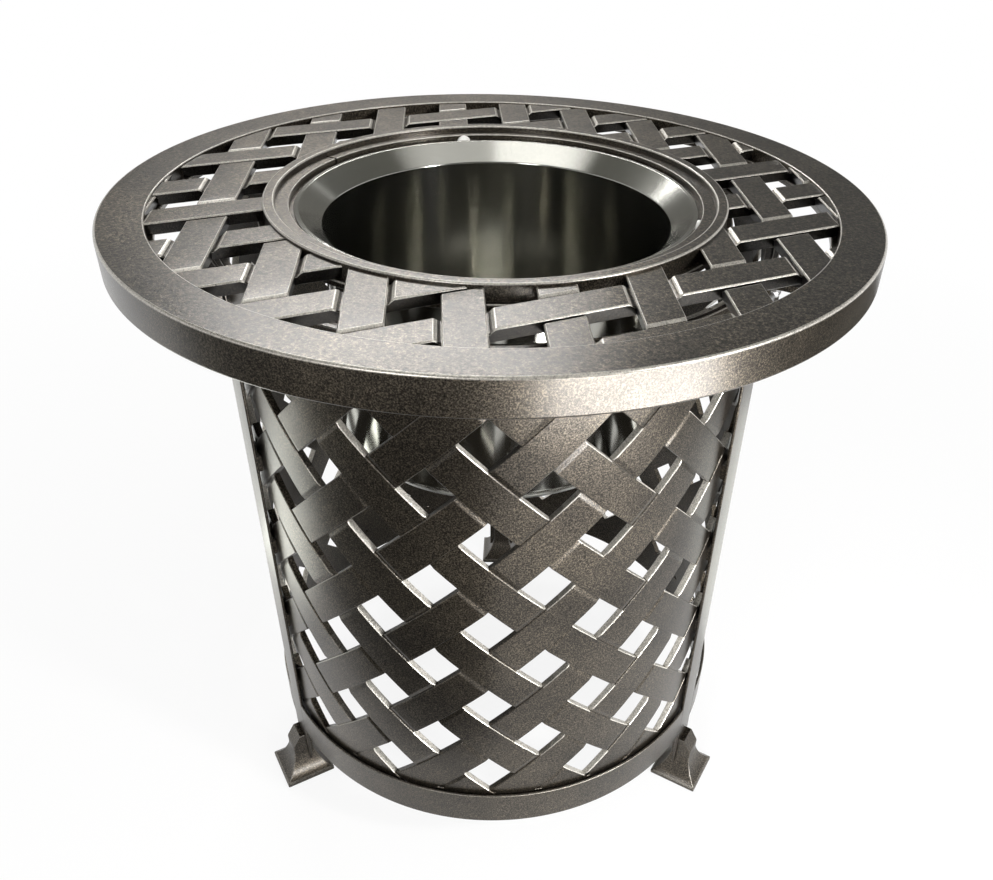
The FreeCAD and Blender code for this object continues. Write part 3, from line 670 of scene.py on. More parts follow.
def steel_material(name, colour, roughness, stretch, lines, streaks=0.0):
    """Polished or plated steel with fine lines that draw reflections out, rougher where it looks up."""
    material, tree, shader = new_material(name)
    drawn = noise(tree, object_place(tree, stretch), lines, detail=4.0, roughness=0.6)
    cloud = noise(tree, object_place(tree), STEEL_CLOUD_SCALE, detail=3.0)
    rough = spread(tree, drawn, 0.3, 0.7, roughness * 0.9, roughness * 1.1)
    bump(tree, shader, drawn, strength=0.01, distance=0.0001)
    turned = new_node(tree, "Tangent")
    turned.direction_type = "RADIAL"
    turned.axis = "Z"
    set_inputs(shader, {
        "Base Color": ramp(tree, cloud, [(0.3, tuple(0.95 * part for part in colour)), (0.7, colour)]),
        "Metallic": 1.0,
        "Roughness": mixed(tree, "MULTIPLY", looking_up(tree, *STEEL_SLOPE), rough, STEEL_ROUGHER),
        "Anisotropic": streaks,
        "Anisotropic Rotation": 0.25,
        "Tangent": turned.outputs["Tangent"],
    })
    return material


def nylon_material(name, dark, light):
    """Moulded nylon with a faint cloud and a fine moulded grain."""
    material, tree, shader = new_material(name)
    place = object_place(tree)
    cloud = noise(tree, place, NYLON_CLOUD_SCALE, detail=3.0)
    grain = noise(tree, place, NYLON_GRAIN_SCALE, detail=2.0)
    bump(tree, shader, grain, strength=0.15, distance=0.0002)
    set_inputs(shader, {
        "Base Color": ramp(tree, cloud, [(0.3, dark), (0.7, light)]),
        "Roughness": spread(tree, grain, 0.3, 0.7, 0.4, 0.58),
    })
    return material


# the third colour is the pale colour of bare edges, partly a painted highlight
COAT = coat_material("dark_coat", (0.037, 0.0315, 0.0245), (0.075, 0.064, 0.049), (0.85, 0.81, 0.73), 0.34)
STEEL = steel_material("stainless", (0.44, 0.435, 0.40), 0.135, (1.0, 1.0, 0.03), 420.0, 0.8)
ZINC = steel_material("zinc_steel", (0.55, 0.55, 0.56), 0.34, (1.0, 1.0, 1.0), 900.0)
WHITE_NYLON = nylon_material("white_nylon", (0.78, 0.76, 0.72), (0.88, 0.87, 0.84))
BLACK_NYLON = nylon_material("black_nylon", (0.018, 0.018, 0.018), (0.035, 0.035, 0.035))


# Woven drum

def strip_corners(width, thickness, facets, draft=0.0):
    """Section of a flat strip: (across, depth below its face) points, in flat steps across both faces."""
    half = width / 2
    back = half - draft
    steps = range(1, facets)
    corners = [(-half, 0.0)]
    corners += [(-half + width * step / facets, 0.0) for step in steps]
    corners += [(half, 0.0), (back, -thickness)]
    corners += [(back - 2 * back * step / facets, -thickness) for step in steps]
    return corners + [(-back, -thickness)]


def strip_outline(width, thickness, bevel, facets, draft=0.0):
    """The same with bevelled edges."""
    flat = [0] * (facets - 1)
    sizes = [bevel, *flat, bevel, bevel / 2, *flat, bevel / 2]
    return bevelled(strip_corners(width, thickness, facets, draft), sizes, bevel / 2)


def eased(share):
    share = min(1.0, max(0.0, share))
    return share * share * (3 - 2 * share)


def woven_places(first, last, half_width, ramp_length, pitch, over_parity):
    """(place, dip share) along a strip, in pitches, that goes over its even or its odd crossings."""
    over_edge = half_width / pitch
    under_edge = 1 - over_edge
    ramp_start = under_edge - ramp_length / pitch
    drop = under_edge - ramp_start
    stations = [0.0, over_edge / 2, over_edge, (over_edge + ramp_start) / 2]
    stations += [ramp_start + drop * step / RAMP_STEPS for step in range(RAMP_STEPS + 1)]
    stations += [(under_edge + 1) / 2]
    places = {}
    for number in range(first, last):
        goes_under_next = number % 2 == over_parity
        for station in stations:
            along = station if goes_under_next else 1 - station
            places[round(number + along, PLACE_DIGITS)] = eased((station - ramp_start) / drop)
    return sorted(places.items())


def drum_strip(lean, number, first_row, last_row):
    """One strip of the drum, from row to row; lean is 1 for strips that rise to the right."""
    pitch = math.hypot(COLUMN_ARC, ROW_STEP)
    across = Vector((-ROW_STEP * lean, COLUMN_ARC)) / pitch
    over_parity = 0 if lean > 0 else 1
    thickness = WEAVE_THICKNESS - UNDER_SHORT * over_parity

    def place(station, shift, depth):
        row, dip = station
        arc = (number + lean * row) * COLUMN_ARC + across.x * shift
        height = ROW_ZERO + ROW_STEP * row + across.y * shift
        radius = WEAVE_RADIUS + depth - STRIP_DIP * dip * (1 + depth / thickness)
        return around(radius, height, math.degrees(arc / WEAVE_RADIUS))

    places = woven_places(first_row, last_row, STRIP_WIDTH / 2, STRIP_RAMP, pitch, over_parity)
    return skin(places, strip_outline(STRIP_WIDTH, thickness, STRIP_BEVEL, STRIP_FACETS), place)


def drum_family(lean):
    """All strips of one lean in the front panel, cut to the panel's edges."""
    shape = Shape()
    lowest = math.floor((WEAVE_BOTTOM - ROW_ZERO) / ROW_STEP) - 1
    highest = math.ceil((WEAVE_TOP - ROW_ZERO) / ROW_STEP) + 1
    reach = EDGE_COLUMN + max(abs(lowest), abs(highest)) + 1
    for number in range(-reach, reach + 1):
        if number % 2 == 0:
            continue
        rows = sorted(((-EDGE_COLUMN - number) * lean, (EDGE_COLUMN - number) * lean))
        first = max(lowest, rows[0] - 1)
        last = min(highest, rows[1] + 1)
        if last > first:
            shape.add(*drum_strip(lean, number, first, last))
    edge = math.radians(LEG_STEP / 2 - SEAM_ANGLE)
    return cut(shape, [
        (Vector((0, 0, (BAND_TOP - WEAVE_RAIL / 2) * MM)), Vector((0, 0, -1))),
        (Vector((0, 0, (WEAVE_TOP - WEAVE_RAIL / 2) * MM)), Vector((0, 0, 1))),
        (Vector((0, 0, 0)), Vector((-math.cos(edge), math.sin(edge), 0))),
        (Vector((0, 0, 0)), Vector((math.cos(edge), math.sin(edge), 0))),
    ])


def weave_panels():
    panel = Shape()
    for lean in (1, -1):
        panel.add(*drum_family(lean))
    inner = WEAVE_RADIUS - WEAVE_THICKNESS
    outer = WEAVE_RADIUS - STRIP_DIP / 2
    for bottom, top in ((WEAVE_BOTTOM, BAND_TOP), (WEAVE_TOP - WEAVE_RAIL, WEAVE_TOP)):
        outline = rounded(box(inner, outer, bottom, top), RAIL_ROUND)
        panel.add(*lathe(outline, 0.0, LEG_STEP - 2 * SEAM_ANGLE))
    copies("drum_", "weave_", SIDE_AZIMUTHS, panel.points, panel.faces, weave_wear_and_painted_highlight)


# Woven grille of the top

def bar_normal(bars):
    angle = math.radians(bars["angle"])
    return Vector((math.sin(angle), -math.cos(angle)))


def lattice_point(bars, other, across_own, across_other):
    """The point at given distances from the axis across one family of bars and the other."""
    one = bar_normal(bars)
    two = bar_normal(other)
    span = one.x * two.y - one.y * two.x
    x = (across_own * two.y - across_other * one.y) / span
    y = (one.x * across_other - two.x * across_own) / span
    return x, y


def grille_bar(bars, other, number, over_parity):
    """One bar of a family, woven through the other family."""
    thickness = GRILLE_THICKNESS - UNDER_SHORT * over_parity
    parity = (number + over_parity) % 2

    def place(station, shift, depth):
        along, dip = station
        across_own = bars["offset"] + BAR_PITCH * number + shift
        x, y = lattice_point(bars, other, across_own, other["offset"] + BAR_PITCH * along)
        return Vector((x, y, GRILLE_TOP + depth - BAR_DIP * dip * (1 + depth / thickness)))

    places = woven_places(-GRILLE_REACH, GRILLE_REACH, BAR_WIDTH / 2, BAR_RAMP, BAR_PITCH, parity)
    return skin(places, strip_outline(BAR_WIDTH, thickness, BAR_BEVEL, BAR_FACETS, BAR_DRAFT), place)


def grille_family(bars, other, over_parity):
    """All bars of one family, cut to the ring between the collar and the rim."""
    shape = Shape()
    for number in range(-GRILLE_REACH, GRILLE_REACH + 1):
        if abs(bars["offset"] + BAR_PITCH * number) < RIM_INNER + BAR_WIDTH:
            shape.add(*grille_bar(bars, other, number, over_parity))
    below = GRILLE_BOTTOM - GRILLE_THICKNESS
    above = TABLE_HEIGHT + GRILLE_THICKNESS
    ring = Shape().add(*lathe(box(COLLAR_RADIUS - BAR_BURIED, RIM_INNER + BAR_BURIED, below, above)))
    return kept_inside(shape, ring)


def top_grille():
    shape = Shape()
    for bars, other, over_parity in ((LONG_BARS, CROSS_BARS, 0), (CROSS_BARS, LONG_BARS, 1)):
        shape.add(*grille_family(bars, other, over_parity))
    coated("woven_grille", shape, "top_grille", grille_wear_and_painted_light)


# Turned rings of the top, and the bucket

def top_rim():
    web_outer = RIM_INNER + RIM_WEB
    plate_bottom = TABLE_HEIGHT - RIM_PLATE
    ledge_inner = RIM_INNER - LEDGE_WIDTH
    apron_inner = TOP_RADIUS - APRON_WALL
    corners = [
        (TOP_RADIUS, TABLE_HEIGHT),
        (RIM_INNER, TABLE_HEIGHT),
        (RIM_INNER, GRILLE_BOTTOM),
        (ledge_inner, GRILLE_BOTTOM),
        (ledge_inner, LEDGE_BOTTOM),
        (web_outer, LEDGE_BOTTOM),
        (web_outer, plate_bottom),
        (apron_inner, plate_bottom),
        (apron_inner, APRON_BOTTOM),
        (TOP_RADIUS, APRON_BOTTOM),
    ]
    small = RIM_ROUND / 2
    radii = [RIM_ROUND, small, small, small, small, small, RIM_ROUND, RIM_ROUND, small, RIM_ROUND]
    shape = Shape().add(*lathe(rounded(corners, radii)))
    boss = box(NEAR_AXIS, BOSS_RADIUS, LEDGE_BOTTOM, plate_bottom + BOSS_OVERLAP)
    disc = button(rounded(boss, [0, small, 0, 0]))
    for azimuth in LEG_AZIMUTHS.values():
        shape.add(*disc, azimuth, around(BOLT_RADIUS_FROM_AXIS, 0, 0))
    coated("cast_rim", shape, "top_rim")


def top_collar():
    shoulder = COLLAR_INNER - COLLAR_SHOULDER
    corners = [
        (COLLAR_RADIUS, COLLAR_TOP),
        (COLLAR_INNER, COLLAR_TOP),
        (COLLAR_INNER, RING_TOP),
        (GROOVE_RADIUS, RING_TOP),
        (GROOVE_RADIUS, RING_BOTTOM),
        (shoulder, RING_BOTTOM),
        (shoulder, LEDGE_BOTTOM),
        (COLLAR_RADIUS + LEDGE_WIDTH, LEDGE_BOTTOM),
        (COLLAR_RADIUS + LEDGE_WIDTH, GRILLE_BOTTOM),
        (COLLAR_RADIUS, GRILLE_BOTTOM),
    ]
    foot = [COLLAR_FILLET, COLLAR_FOOT_ROUND, COLLAR_FOOT_ROUND, COLLAR_FOOT_ROUND, COLLAR_FILLET]
    radii = [COLLAR_ROUND, COLLAR_ROUND, 0, 0, 0, *foot]
    shape = Shape().add(*lathe(rounded(corners, radii)))
    coated("raised_collar", shape, "top_collar")


def seat_ring():
    outer = GROOVE_RADIUS - JOIN_GAP
    wall_outer = COLLAR_INNER - COLLAR_SHOULDER - JOIN_GAP
    corners = [
        (outer, RING_TOP),
        (RING_INNER, RING_TOP),
        (RING_INNER, SEAT_TOP),
        (SEAT_INNER, SEAT_TOP),
        (SEAT_INNER, SEAT_TOP - RING_SEAT_THICKNESS),
        (wall_outer, SEAT_TOP - RING_SEAT_THICKNESS),
        (wall_outer, RING_BOTTOM),
        (outer, RING_BOTTOM),
    ]
    radii = [0, RING_ROUND, 0, RING_ROUND, RING_ROUND, RING_ROUND, 0, 0]
    split = math.degrees(RING_SPLIT / RING_INNER)
    shape = Shape().add(*lathe(rounded(corners, radii), RING_SPLIT_AZIMUTH + 180.0, 360.0 - split))
    coated("split_ring", shape, "seat_ring")


def collar_bumpers():
    """Half-round buttons on the seat, each with a rounded face."""
    wall = RING_INNER - JOIN_GAP
    middle = SEAT_TOP + BUMPER_HEIGHT - BUMPER_RADIUS
    base_angle = math.asin((BUMPER_RADIUS - BUMPER_HEIGHT) / BUMPER_RADIUS)
    sweep = math.pi - 2 * base_angle
    arc = [base_angle + sweep * step / BUMPER_STEPS for step in range(BUMPER_STEPS + 1)]
    half_base = BUMPER_RADIUS * math.cos(base_angle)
    flat = [-half_base + 2 * half_base * step / BUMPER_BASE_STEPS for step in range(1, BUMPER_BASE_STEPS)]
    loop = [(BUMPER_RADIUS * math.cos(angle), middle + BUMPER_RADIUS * math.sin(angle)) for angle in arc]
    loop += [(side, SEAT_TOP) for side in flat]

    def place(station, side, height):
        inset, depth = station
        scale = 1 - inset / BUMPER_RADIUS
        lifted = SEAT_TOP + (height - SEAT_TOP) * scale
        return around(wall - depth, lifted, math.degrees(side * scale / wall))

    stations = [(0.0, 0.0)] + [(inset, BUMPER_DEPTH - below) for inset, below in BUMPER_FACE]
    bumper = skin(stations, loop, place)
    shape = Shape()
    for number in range(len(LEG_AZIMUTHS)):
        shape.add(*bumper, BUMPER_AZIMUTH + LEG_STEP * number)
    piece("seat_bumpers", shape, WHITE_NYLON, "table", ["collar_bumpers"])


def ice_bucket():
    sheet = BUCKET_SHEET
    lip_top = SEAT_TOP + sheet
    bottom = lip_top - BUCKET_DEPTH
    funnel_top = BUCKET_RADIUS - BUCKET_LIP
    mouth = lip_top - BUCKET_FUNNEL_DROP
    slope = math.atan2(BUCKET_FUNNEL_DROP, BUCKET_FUNNEL_RUN)
    shift = sheet * math.tan(slope / 2)
    turn = sheet * math.tan((math.pi / 2 - slope) / 2)
    outer_wall = BUCKET_MOUTH_RADIUS + sheet
    corners = [
        (NEAR_AXIS, bottom),
        (outer_wall, bottom),
        (outer_wall, mouth - turn),
        (funnel_top + shift, SEAT_TOP),
        (BUCKET_RADIUS, SEAT_TOP),
        (BUCKET_RADIUS, lip_top),
        (funnel_top, lip_top),
        (BUCKET_MOUTH_RADIUS, mouth),
        (BUCKET_MOUTH_RADIUS, bottom + sheet),
        (NEAR_AXIS, bottom + sheet),
    ]
    radii = [0, BUCKET_CORNER, BUCKET_MOUTH_ROUND - sheet / 2, BUCKET_LIP_ROUND, BUCKET_EDGE_ROUND]
    radii += [BUCKET_EDGE_ROUND, BUCKET_FUNNEL_ROUND, BUCKET_MOUTH_ROUND, BUCKET_CORNER - sheet, 0]
    shape = Shape().add(*lathe(rounded(corners, radii, BUCKET_STEPS)))
    piece("drawn_bucket", shape, STEEL, "bucket", ["ice_bucket"])


# Strap frame

def frame_radius(height):
    return FRAME_RADIUS_FLOOR + FRAME_TAPER * height / TABLE_HEIGHT


def straps():
    plain = [0] * (STRAP_FACETS - 1)
    radii = [FRAME_ROUND, *plain, FRAME_ROUND, FRAME_ROUND, *plain, FRAME_ROUND]
    outline = rounded(strip_corners(STRAP_WIDTH, FRAME_THICKNESS, STRAP_FACETS), radii)
    rise = STRAP_TOP - STRAP_END - BAND_TOP
    heights = [STRAP_FOOT_HEIGHT, STRAP_FOOT_HEIGHT + STRAP_END, BAND_BOTTOM, BAND_TOP]
    heights += [BAND_TOP + rise * step / STRAP_STATIONS for step in range(1, STRAP_STATIONS + 1)]
    heights += [STRAP_TOP]

    def place(height, side, depth):
        radius = frame_radius(height) + depth
        return Vector((side, -math.sqrt(radius * radius - side * side), height))

    copies("flat_", "strap_", LEG_AZIMUTHS, *skin(heights, outline, place), frame_wear_and_painted_highlight)


def base_bands():
    corners = [
        (frame_radius(BAND_BOTTOM) - FRAME_THICKNESS, BAND_BOTTOM),
        (frame_radius(BAND_BOTTOM), BAND_BOTTOM),
        (frame_radius(BAND_TOP), BAND_TOP),
        (frame_radius(BAND_TOP) - FRAME_THICKNESS, BAND_TOP),
    ]
    half_strap = math.degrees(math.asin(STRAP_WIDTH / 2 / frame_radius(BAND_BOTTOM)))
    band = lathe(rounded(corners, FRAME_ROUND), 0.0, LEG_STEP - 2 * half_strap)
    copies("base_", "band_", SIDE_AZIMUTHS, *band, frame_wear_and_painted_highlight)


def between_corners(bottom, top):
    """Section of a piece that fills the room between the drum and the frame."""
    near = WEAVE_RADIUS + JOIN_GAP
    return [
        (near, bottom),
        (frame_radius(bottom) - FRAME_THICKNESS - JOIN_GAP, bottom),
        (frame_radius(top) - FRAME_THICKNESS - JOIN_GAP, top),
        (near, top),
    ]


def upper_hoop():
    shape = Shape().add(*lathe(rounded(between_corners(HOOP_BOTTOM, HOOP_TOP), HOOP_ROUND)))
    coated("rolled_hoop", shape, "upper_hoop")


def tab(bottom, azimuth):
    outline = rounded(between_corners(bottom, bottom + TAB_HEIGHT), TAB_ROUND)
    return lathe(outline, azimuth, math.degrees(TAB_WIDTH / WEAVE_RADIUS))


def tabs():
    side = math.degrees(TAB_SIDE / WEAVE_RADIUS)
    lowest = int((BAND_TOP - ROW_ZERO) / ROW_STEP)
    highest = int((HOOP_BOTTOM - TAB_HEIGHT - ROW_ZERO) / ROW_STEP)
    shape = Shape()
    for row in range(lowest, highest + 1):
        if (row + EDGE_COLUMN) % 2 == 0:
            continue
        bottom = ROW_ZERO + ROW_STEP * row - TAB_HEIGHT / 2
        for azimuth in LEG_AZIMUTHS.values():
            shape.add(*tab(bottom, azimuth - side))
            shape.add(*tab(bottom, azimuth + side))
    coated("welded_strap_tabs", shape, "strap_tabs")
    shape = Shape()
    bottom = BAND_BOTTOM + BAND_HEIGHT / 2 - TAB_HEIGHT
    count = round(360.0 / BAND_TAB_SPACING)
    for number in range(count):
        azimuth = number * BAND_TAB_SPACING
        nearest = min(abs((azimuth - leg + 180.0) % 360.0 - 180.0) for leg in LEG_AZIMUTHS.values())
        if nearest > BAND_TAB_SPACING / 2:
            shape.add(*tab(bottom, azimuth))
    coated("welded_band_tabs", shape, "band_tabs")


def brackets():
    """Angle plates with rounded edges."""
    near = frame_radius(TABLE_HEIGHT) + JOIN_GAP
    end = BOLT_RADIUS_FROM_AXIS + ARM_END
    top = LEDGE_BOTTOM
    corners = [
        (near, top),
        (near, top - BRACKET_DROP),
        (near + BRACKET_THICKNESS, top - BRACKET_DROP),
        (near + BRACKET_THICKNESS, top - BRACKET_THICKNESS),
        (end, top - BRACKET_THICKNESS),
        (end, top),
    ]
    small = BRACKET_ROUND
    outline = rounded(corners, [BRACKET_HEEL, small, small, BRACKET_FILLET, small, small])
    half = STRAP_WIDTH / 2
    flat = half - BRACKET_BEVEL
    middle = Vector((sum(point.x for point in outline), sum(point.y for point in outline))) / len(outline)

    def place(station, out, height):
        side, inset = station
        point = Vector((out, height))
        drawn_in = point + (middle - point).normalized() * inset
        return Vector((side, -drawn_in.x, drawn_in.y))

    stations = ((-half, BRACKET_BEVEL), (-flat, 0.0), (flat, 0.0), (half, BRACKET_BEVEL))
    copies("angle_", "bracket_", LEG_AZIMUTHS, *skin(stations, outline, place))


# Fasteners

def hex_loop(across_flats, height):
    corner = across_flats / math.sqrt(3)
    turns = [math.radians(60 * number) for number in range(6)]
    return [Vector((corner * math.cos(turn), corner * math.sin(turn), height)) for turn in turns]


def rim_fasteners():
    washer_top = LEDGE_BOTTOM - BRACKET_THICKNESS
    head_top = washer_top - WASHER_THICKNESS
    head_bottom = head_top - BOLT_HEAD_HEIGHT
    head = loft([
        hex_loop(BOLT_HEAD_WIDTH, head_top),
        hex_loop(BOLT_HEAD_WIDTH, head_bottom + BOLT_CHAMFER),
        hex_loop(BOLT_HEAD_WIDTH - 2 * BOLT_CHAMFER, head_bottom),
    ])
    corners = box(NEAR_AXIS, BOLT_RADIUS, head_top - BOLT_OVERLAP, head_top + BOLT_LENGTH)
    shank = button(rounded(corners, [0, 0, BOLT_END_ROUND, 0]), FASTENER_TURNS)
    corners = box(BOLT_RADIUS + WASHER_PLAY, WASHER_RADIUS, head_top, washer_top)
    disc = button(rounded(corners, WASHER_ROUND))
    bolts = Shape()
    washers = Shape()
    out = around(BOLT_RADIUS_FROM_AXIS, 0, 0)
    for azimuth in LEG_AZIMUTHS.values():
        bolts.add(*head, azimuth, out).add(*shank, azimuth, out)
        washers.add(*disc, azimuth, out)
    piece("hex_bolts", bolts, ZINC, "table", ["rim_bolts"])
    piece("flat_washers", washers, ZINC, "table", ["rim_washers"])


def strap_screws():
    """Button heads with a hexagon socket."""
    face = frame_radius(TABLE_HEIGHT) + JOIN_GAP + BRACKET_THICKNESS
    start = WEAVE_RADIUS + WEAVE_THICKNESS / 2
    angles = [2 * math.pi * number / FASTENER_TURNS for number in range(FASTENER_TURNS)]
    turns = [math.radians(angle) for angle in SCREW_DOME]
    dome = [(SCREW_HEAD_RADIUS * math.cos(turn), SCREW_HEAD_HEIGHT * math.sin(turn)) for turn in turns]
    rings = [(SCREW_RADIUS, start - face), (SCREW_RADIUS, 0.0)] + dome
    loops = [([radius] * len(angles), out) for radius, out in rings]
    half_side = math.radians(30)
    flat = SCREW_SOCKET_RADIUS * math.cos(half_side)
    socket = [flat / math.cos(half_side - angle % math.radians(60)) for angle in angles]
    head_top = dome[-1][1]
    loops += [(socket, head_top), (socket, head_top - SCREW_SOCKET_DEPTH)]

    def place(station, index, angle):
        radii, out = station
        radius = radii[index]
        return Vector((radius * math.cos(angle), -face - out, radius * math.sin(angle)))

    screw = skin(loops, list(enumerate(angles)), place)
    shape = Shape()
    for azimuth in LEG_AZIMUTHS.values():
        for side in (-SCREW_SPACING / 2, SCREW_SPACING / 2):
            shape.add(*screw, azimuth, (side, 0, SCREW_HEIGHT))
    piece("button_screws", shape, ZINC, "table", ["strap_screws"])


# Feet

def foot_loop(half, height):
    outline = rounded(box(-half, half, -half, half), FOOT_ROUND)
    return [Vector((x, y - FOOT_RADIUS, height)) for x, y in outline]


def feet():
    wide = FOOT_WIDTH / 2
    neck = FOOT_NECK / 2
    edge_top = GLIDE_SHOWING + FOOT_EDGE
    rise = FOOT_FLARE_TOP - edge_top
    sections = [
        foot_loop(wide - FOOT_BEVEL, GLIDE_SHOWING),
        foot_loop(wide, GLIDE_SHOWING + FOOT_BEVEL),
        foot_loop(wide, edge_top - FOOT_BORDER),
    ]
    for step in range(FOOT_STEPS + 1):
        share = step / FOOT_STEPS
        turn = math.radians(90 * share)
        inward = share + FOOT_HOLLOW * (math.sin(turn) - share)
        upward = share + FOOT_HOLLOW * (1 - math.cos(turn) - share)
        sections.append(foot_loop(wide - (wide - neck) * inward, edge_top + rise * upward))
    sections.append(foot_loop(neck, FOOT_HEIGHT - FOOT_BEVEL))
    sections.append(foot_loop(neck - FOOT_BEVEL, FOOT_HEIGHT))
    place = Vector((0, -FOOT_RADIUS - neck, FOOT_HEIGHT - FOOT_CHAMFER_HEIGHT)) * MM
    outward = Vector((0, -FOOT_CHAMFER_HEIGHT, FOOT_CHAMFER_WIDTH)).normalized()
    flared = cut(Shape().add(*loft(sections)), [(place, outward)])
    outline = rounded(box(NEAR_AXIS, GLIDE_RADIUS, 0, GLIDE_THICKNESS), [0, *GLIDE_ROUNDS, 0])
    disc = button(outline, GLIDE_TURNS)
    under = around(FOOT_RADIUS, 0, 0)
    for leg, azimuth in LEG_AZIMUTHS.items():
        name = "foot_" + leg
        coated("flared_" + name, Shape().add(*flared, azimuth), name, frame_wear_and_painted_highlight)
        name = "glide_" + leg
        shape = Shape().add(*disc, azimuth, under)
        piece("disc_" + name, shape, BLACK_NYLON, "table", [name])


# Studio

def level(x_range, y_range, height):
    """Corners of a level rectangle."""
    return [(x, y, height) for x, y in box(*x_range, *y_range)]


def upright(x_range, y, z_range):
    """Corners of an upright rectangle that faces the front or the back."""
    return [(x, y, z) for x, z in box(*x_range, *z_range)]


def flat_object(name, corners, material):
    mesh = bpy.data.meshes.new(name)
    mesh.from_pydata(corners, [], [(0, 1, 2, 3)])
    mesh.materials.append(material)
    return placed(name, mesh)


def blended(tree, share, one, two, output):
    """Sends a mix of two shaders to an output of the kind given."""
    blend = new_node(tree, "MixShader", {"Fac": share, 1: one.outputs[0], 2: two.outputs[0]})
    new_node(tree, output, {"Surface": blend.outputs["Shader"]})


def seen_directly(tree):
    """1 for camera, glossy and transmission rays."""
    path = new_node(tree, "LightPath")
    total = path.outputs["Is Camera Ray"]
    for name in ("Is Glossy Ray", "Is Transmission Ray"):
        larger = new_node(tree, "Math", {0: total, 1: path.outputs[name]})
        larger.operation = "MAXIMUM"
        total = larger.outputs["Value"]
    return total


def floor():
    """Pale floor with a faint shadow, white to the camera and, further out, in reflections."""
    material = bpy.data.materials.new("pale_floor")
    tree = empty_tree(material)
    matt = new_node(tree, "BsdfDiffuse", {"Color": FLOOR_COLOUR})
    glow = new_node(tree, "Emission", {"Color": WHITE, "Strength": 1.0})
    distance = new_node(tree, "VectorMath", {0: object_place(tree)})
    distance.operation = "LENGTH"
    far = distance.outputs["Value"]
    seen = spread(tree, far, *FLOOR_SHADE, FLOOR_GLOW, 1.0)
    mirrored = spread(tree, far, *FLOOR_DARK, 0.0, FLOOR_GLOW)
    to_camera = new_node(tree, "LightPath").outputs["Is Camera Ray"]
    share = mixed(tree, "MIX", to_camera, mirrored, seen)
    share = mixed(tree, "MULTIPLY", 1.0, share, seen_directly(tree))
    blended(tree, share, matt, glow, "OutputMaterial")
    half = (-FLOOR_HALF, FLOOR_HALF)
    made = flat_object("floor", level(half, half, 0), material)


def world():
    made = bpy.data.worlds.new("studio")
    bpy.context.scene.world = made
    tree = empty_tree(made)
    soft = new_node(tree, "Background", {"Color": WHITE, "Strength": WORLD_LIGHT})
    plain = new_node(tree, "Background", {"Color": WHITE, "Strength": 1.0})
    blended(tree, seen_directly(tree), soft, plain, "OutputWorld")


def lamp(name, place, target, size, watts, colour=(1, 1, 1)):
    light = bpy.data.lights.new(name, "AREA")
    light.shape = "RECTANGLE"
    light.size, light.size_y = size
    light.energy = watts
    light.color = colour
    made = placed(name, light)
    made.location = place
    made.rotation_mode = "QUATERNION"
    made.rotation_quaternion = (Vector(target) - Vector(place)).to_track_quat("-Z", "Y")
    made.visible_camera = False


def card(name, corners, shade):
    """A dark card round the set, which only reflections see."""
    material, tree, shader = new_material(name)
    set_inputs(shader, {"Base Color": (*shade, 1), "Roughness": 1.0})
    made = flat_object(name, corners, material)
    made.visible_camera = False
    made.visible_shadow = False
    made.visible_diffuse = False


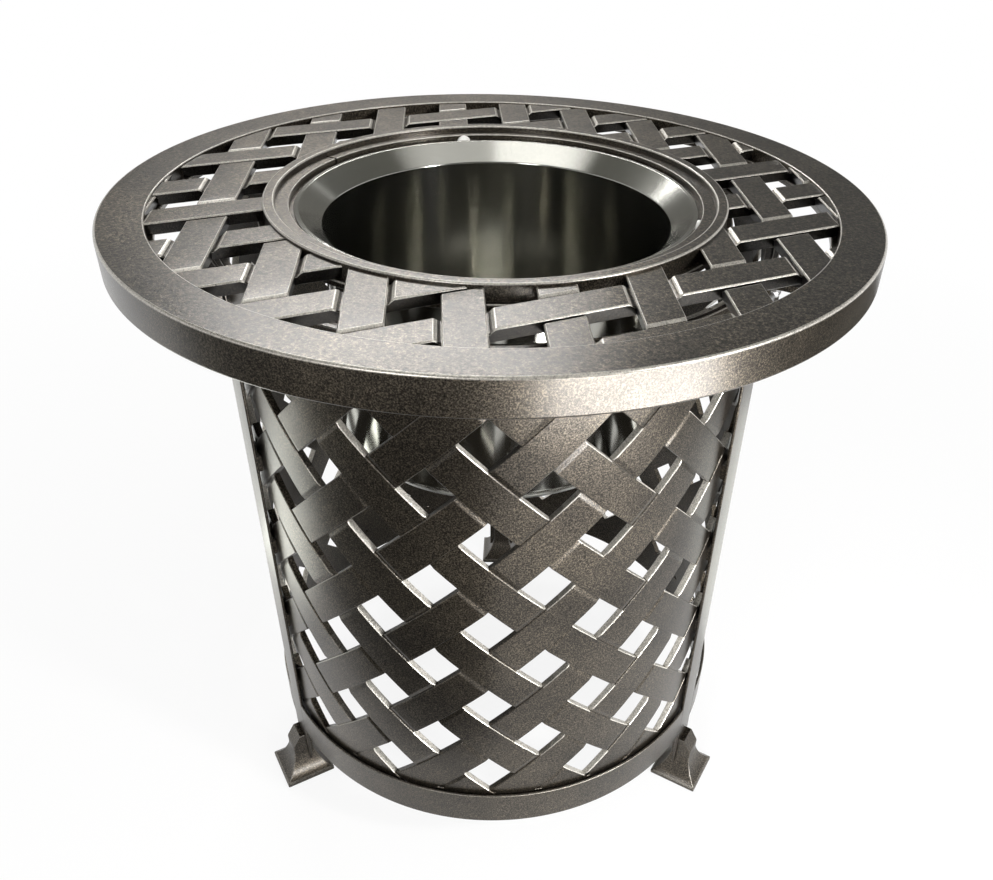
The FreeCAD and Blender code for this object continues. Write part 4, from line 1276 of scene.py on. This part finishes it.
def camera():
    pitch, yaw, roll = (math.radians(angle) for angle in (CAMERA_PITCH, CAMERA_YAW, CAMERA_ROLL))
    forward = Vector((math.sin(yaw) * math.cos(pitch), math.cos(yaw) * math.cos(pitch), -math.sin(pitch)))
    right = Vector((math.cos(yaw), -math.sin(yaw), 0))
    up = right.cross(forward)
    level_right = math.cos(roll) * right + math.sin(roll) * up
    level_up = -math.sin(roll) * right + math.cos(roll) * up
    axes = Matrix((level_right, level_up, -forward)).transposed()
    turn = Matrix.Rotation(math.radians(CAMERA_AZIMUTH), 3, "Z")
    lens = bpy.data.cameras.new("camera")
    width, height = IMAGE_SIZE
    lens.sensor_width = SENSOR_WIDTH
    lens.lens = CAMERA_FOCAL * SENSOR_WIDTH / width
    lens.shift_x = (width / 2 - CAMERA_CENTRE[0]) / width
    lens.shift_y = (CAMERA_CENTRE[1] - height / 2) / width
    made = placed("camera", lens)
    place = around(CAMERA_DISTANCE, TABLE_HEIGHT + CAMERA_HEIGHT, CAMERA_AZIMUTH) * MM
    made.matrix_world = Matrix.Translation(place) @ (turn @ axes).to_4x4()
    bpy.context.scene.camera = made


weave_panels()
top_grille()
top_rim()
top_collar()
seat_ring()
collar_bumpers()
ice_bucket()
straps()
base_bands()
upper_hoop()
tabs()
brackets()
rim_fasteners()
strap_screws()
feet()

floor()
world()
lamp("overhead", (-0.27, 0.0, 1.7), (-0.1, 0, 0.5), (0.5, 0.6), 2.4)
lamp("overhead_soft", (0.33, 0.0, 1.7), (0.1, 0, 0.5), (0.6, 0.6), 1.0)
lamp("back", (-0.34, 1.68, 1.78), (-0.1, -0.25, 0.58), (1.1, 0.36), 24.0)
lamp("right", (0.97, -0.76, 1.05), (0, -0.1, 0.45), (0.14, 0.14), 14.0)
lamp("left", (-0.45, -1.15, 1.05), (0, -0.1, 0.35), (0.3, 0.3), 5.0)
lamp("kicker", (0.414, -0.688, 0.269), (0.08, -0.29, 0.57), (0.6, 0.17), 7.5)
lamp("left_floor", (-0.68, 0.02, 0.02), (-0.68, 0.02, 1.0), (0.5, 0.28), 1.1, CREAM)
lamp("left_back_floor", (-0.62, 0.36, 0.02), (-0.62, 0.36, 1.0), (0.6, 0.4), 0.3, CREAM)
lamp("right_back_floor", (0.52, 0.24, 0.02), (0.52, 0.24, 1.0), (0.45, 0.45), 0.5, CREAM)
card("ceiling_card", level((-2.3, 2.3), (-2.3, 2.3), 1.8), (0.18, 0.18, 0.16))
card("camera_card", upright((-1.4, 1.4), -1.7, (0.95, 1.8)), (0.08, 0.08, 0.07))
card("back_card", upright((-1.3, 1.2), 1.5, (0.66, 1.3)), (0.22, 0.215, 0.2))
left_corners = [(0.0, -0.36, 0.01), (0.0, -2.0, 0.01), (-2.2, -0.1, 0.01), (-0.45, -0.2, 0.01)]
card("left_card", left_corners, (0.05, 0.05, 0.045))
card("right_card", level((0.9, 2.2), (-0.4, 1.0), 0.01), (0.15, 0.14, 0.12))
camera()
bpy.context.scene.view_settings.view_transform = "Standard"
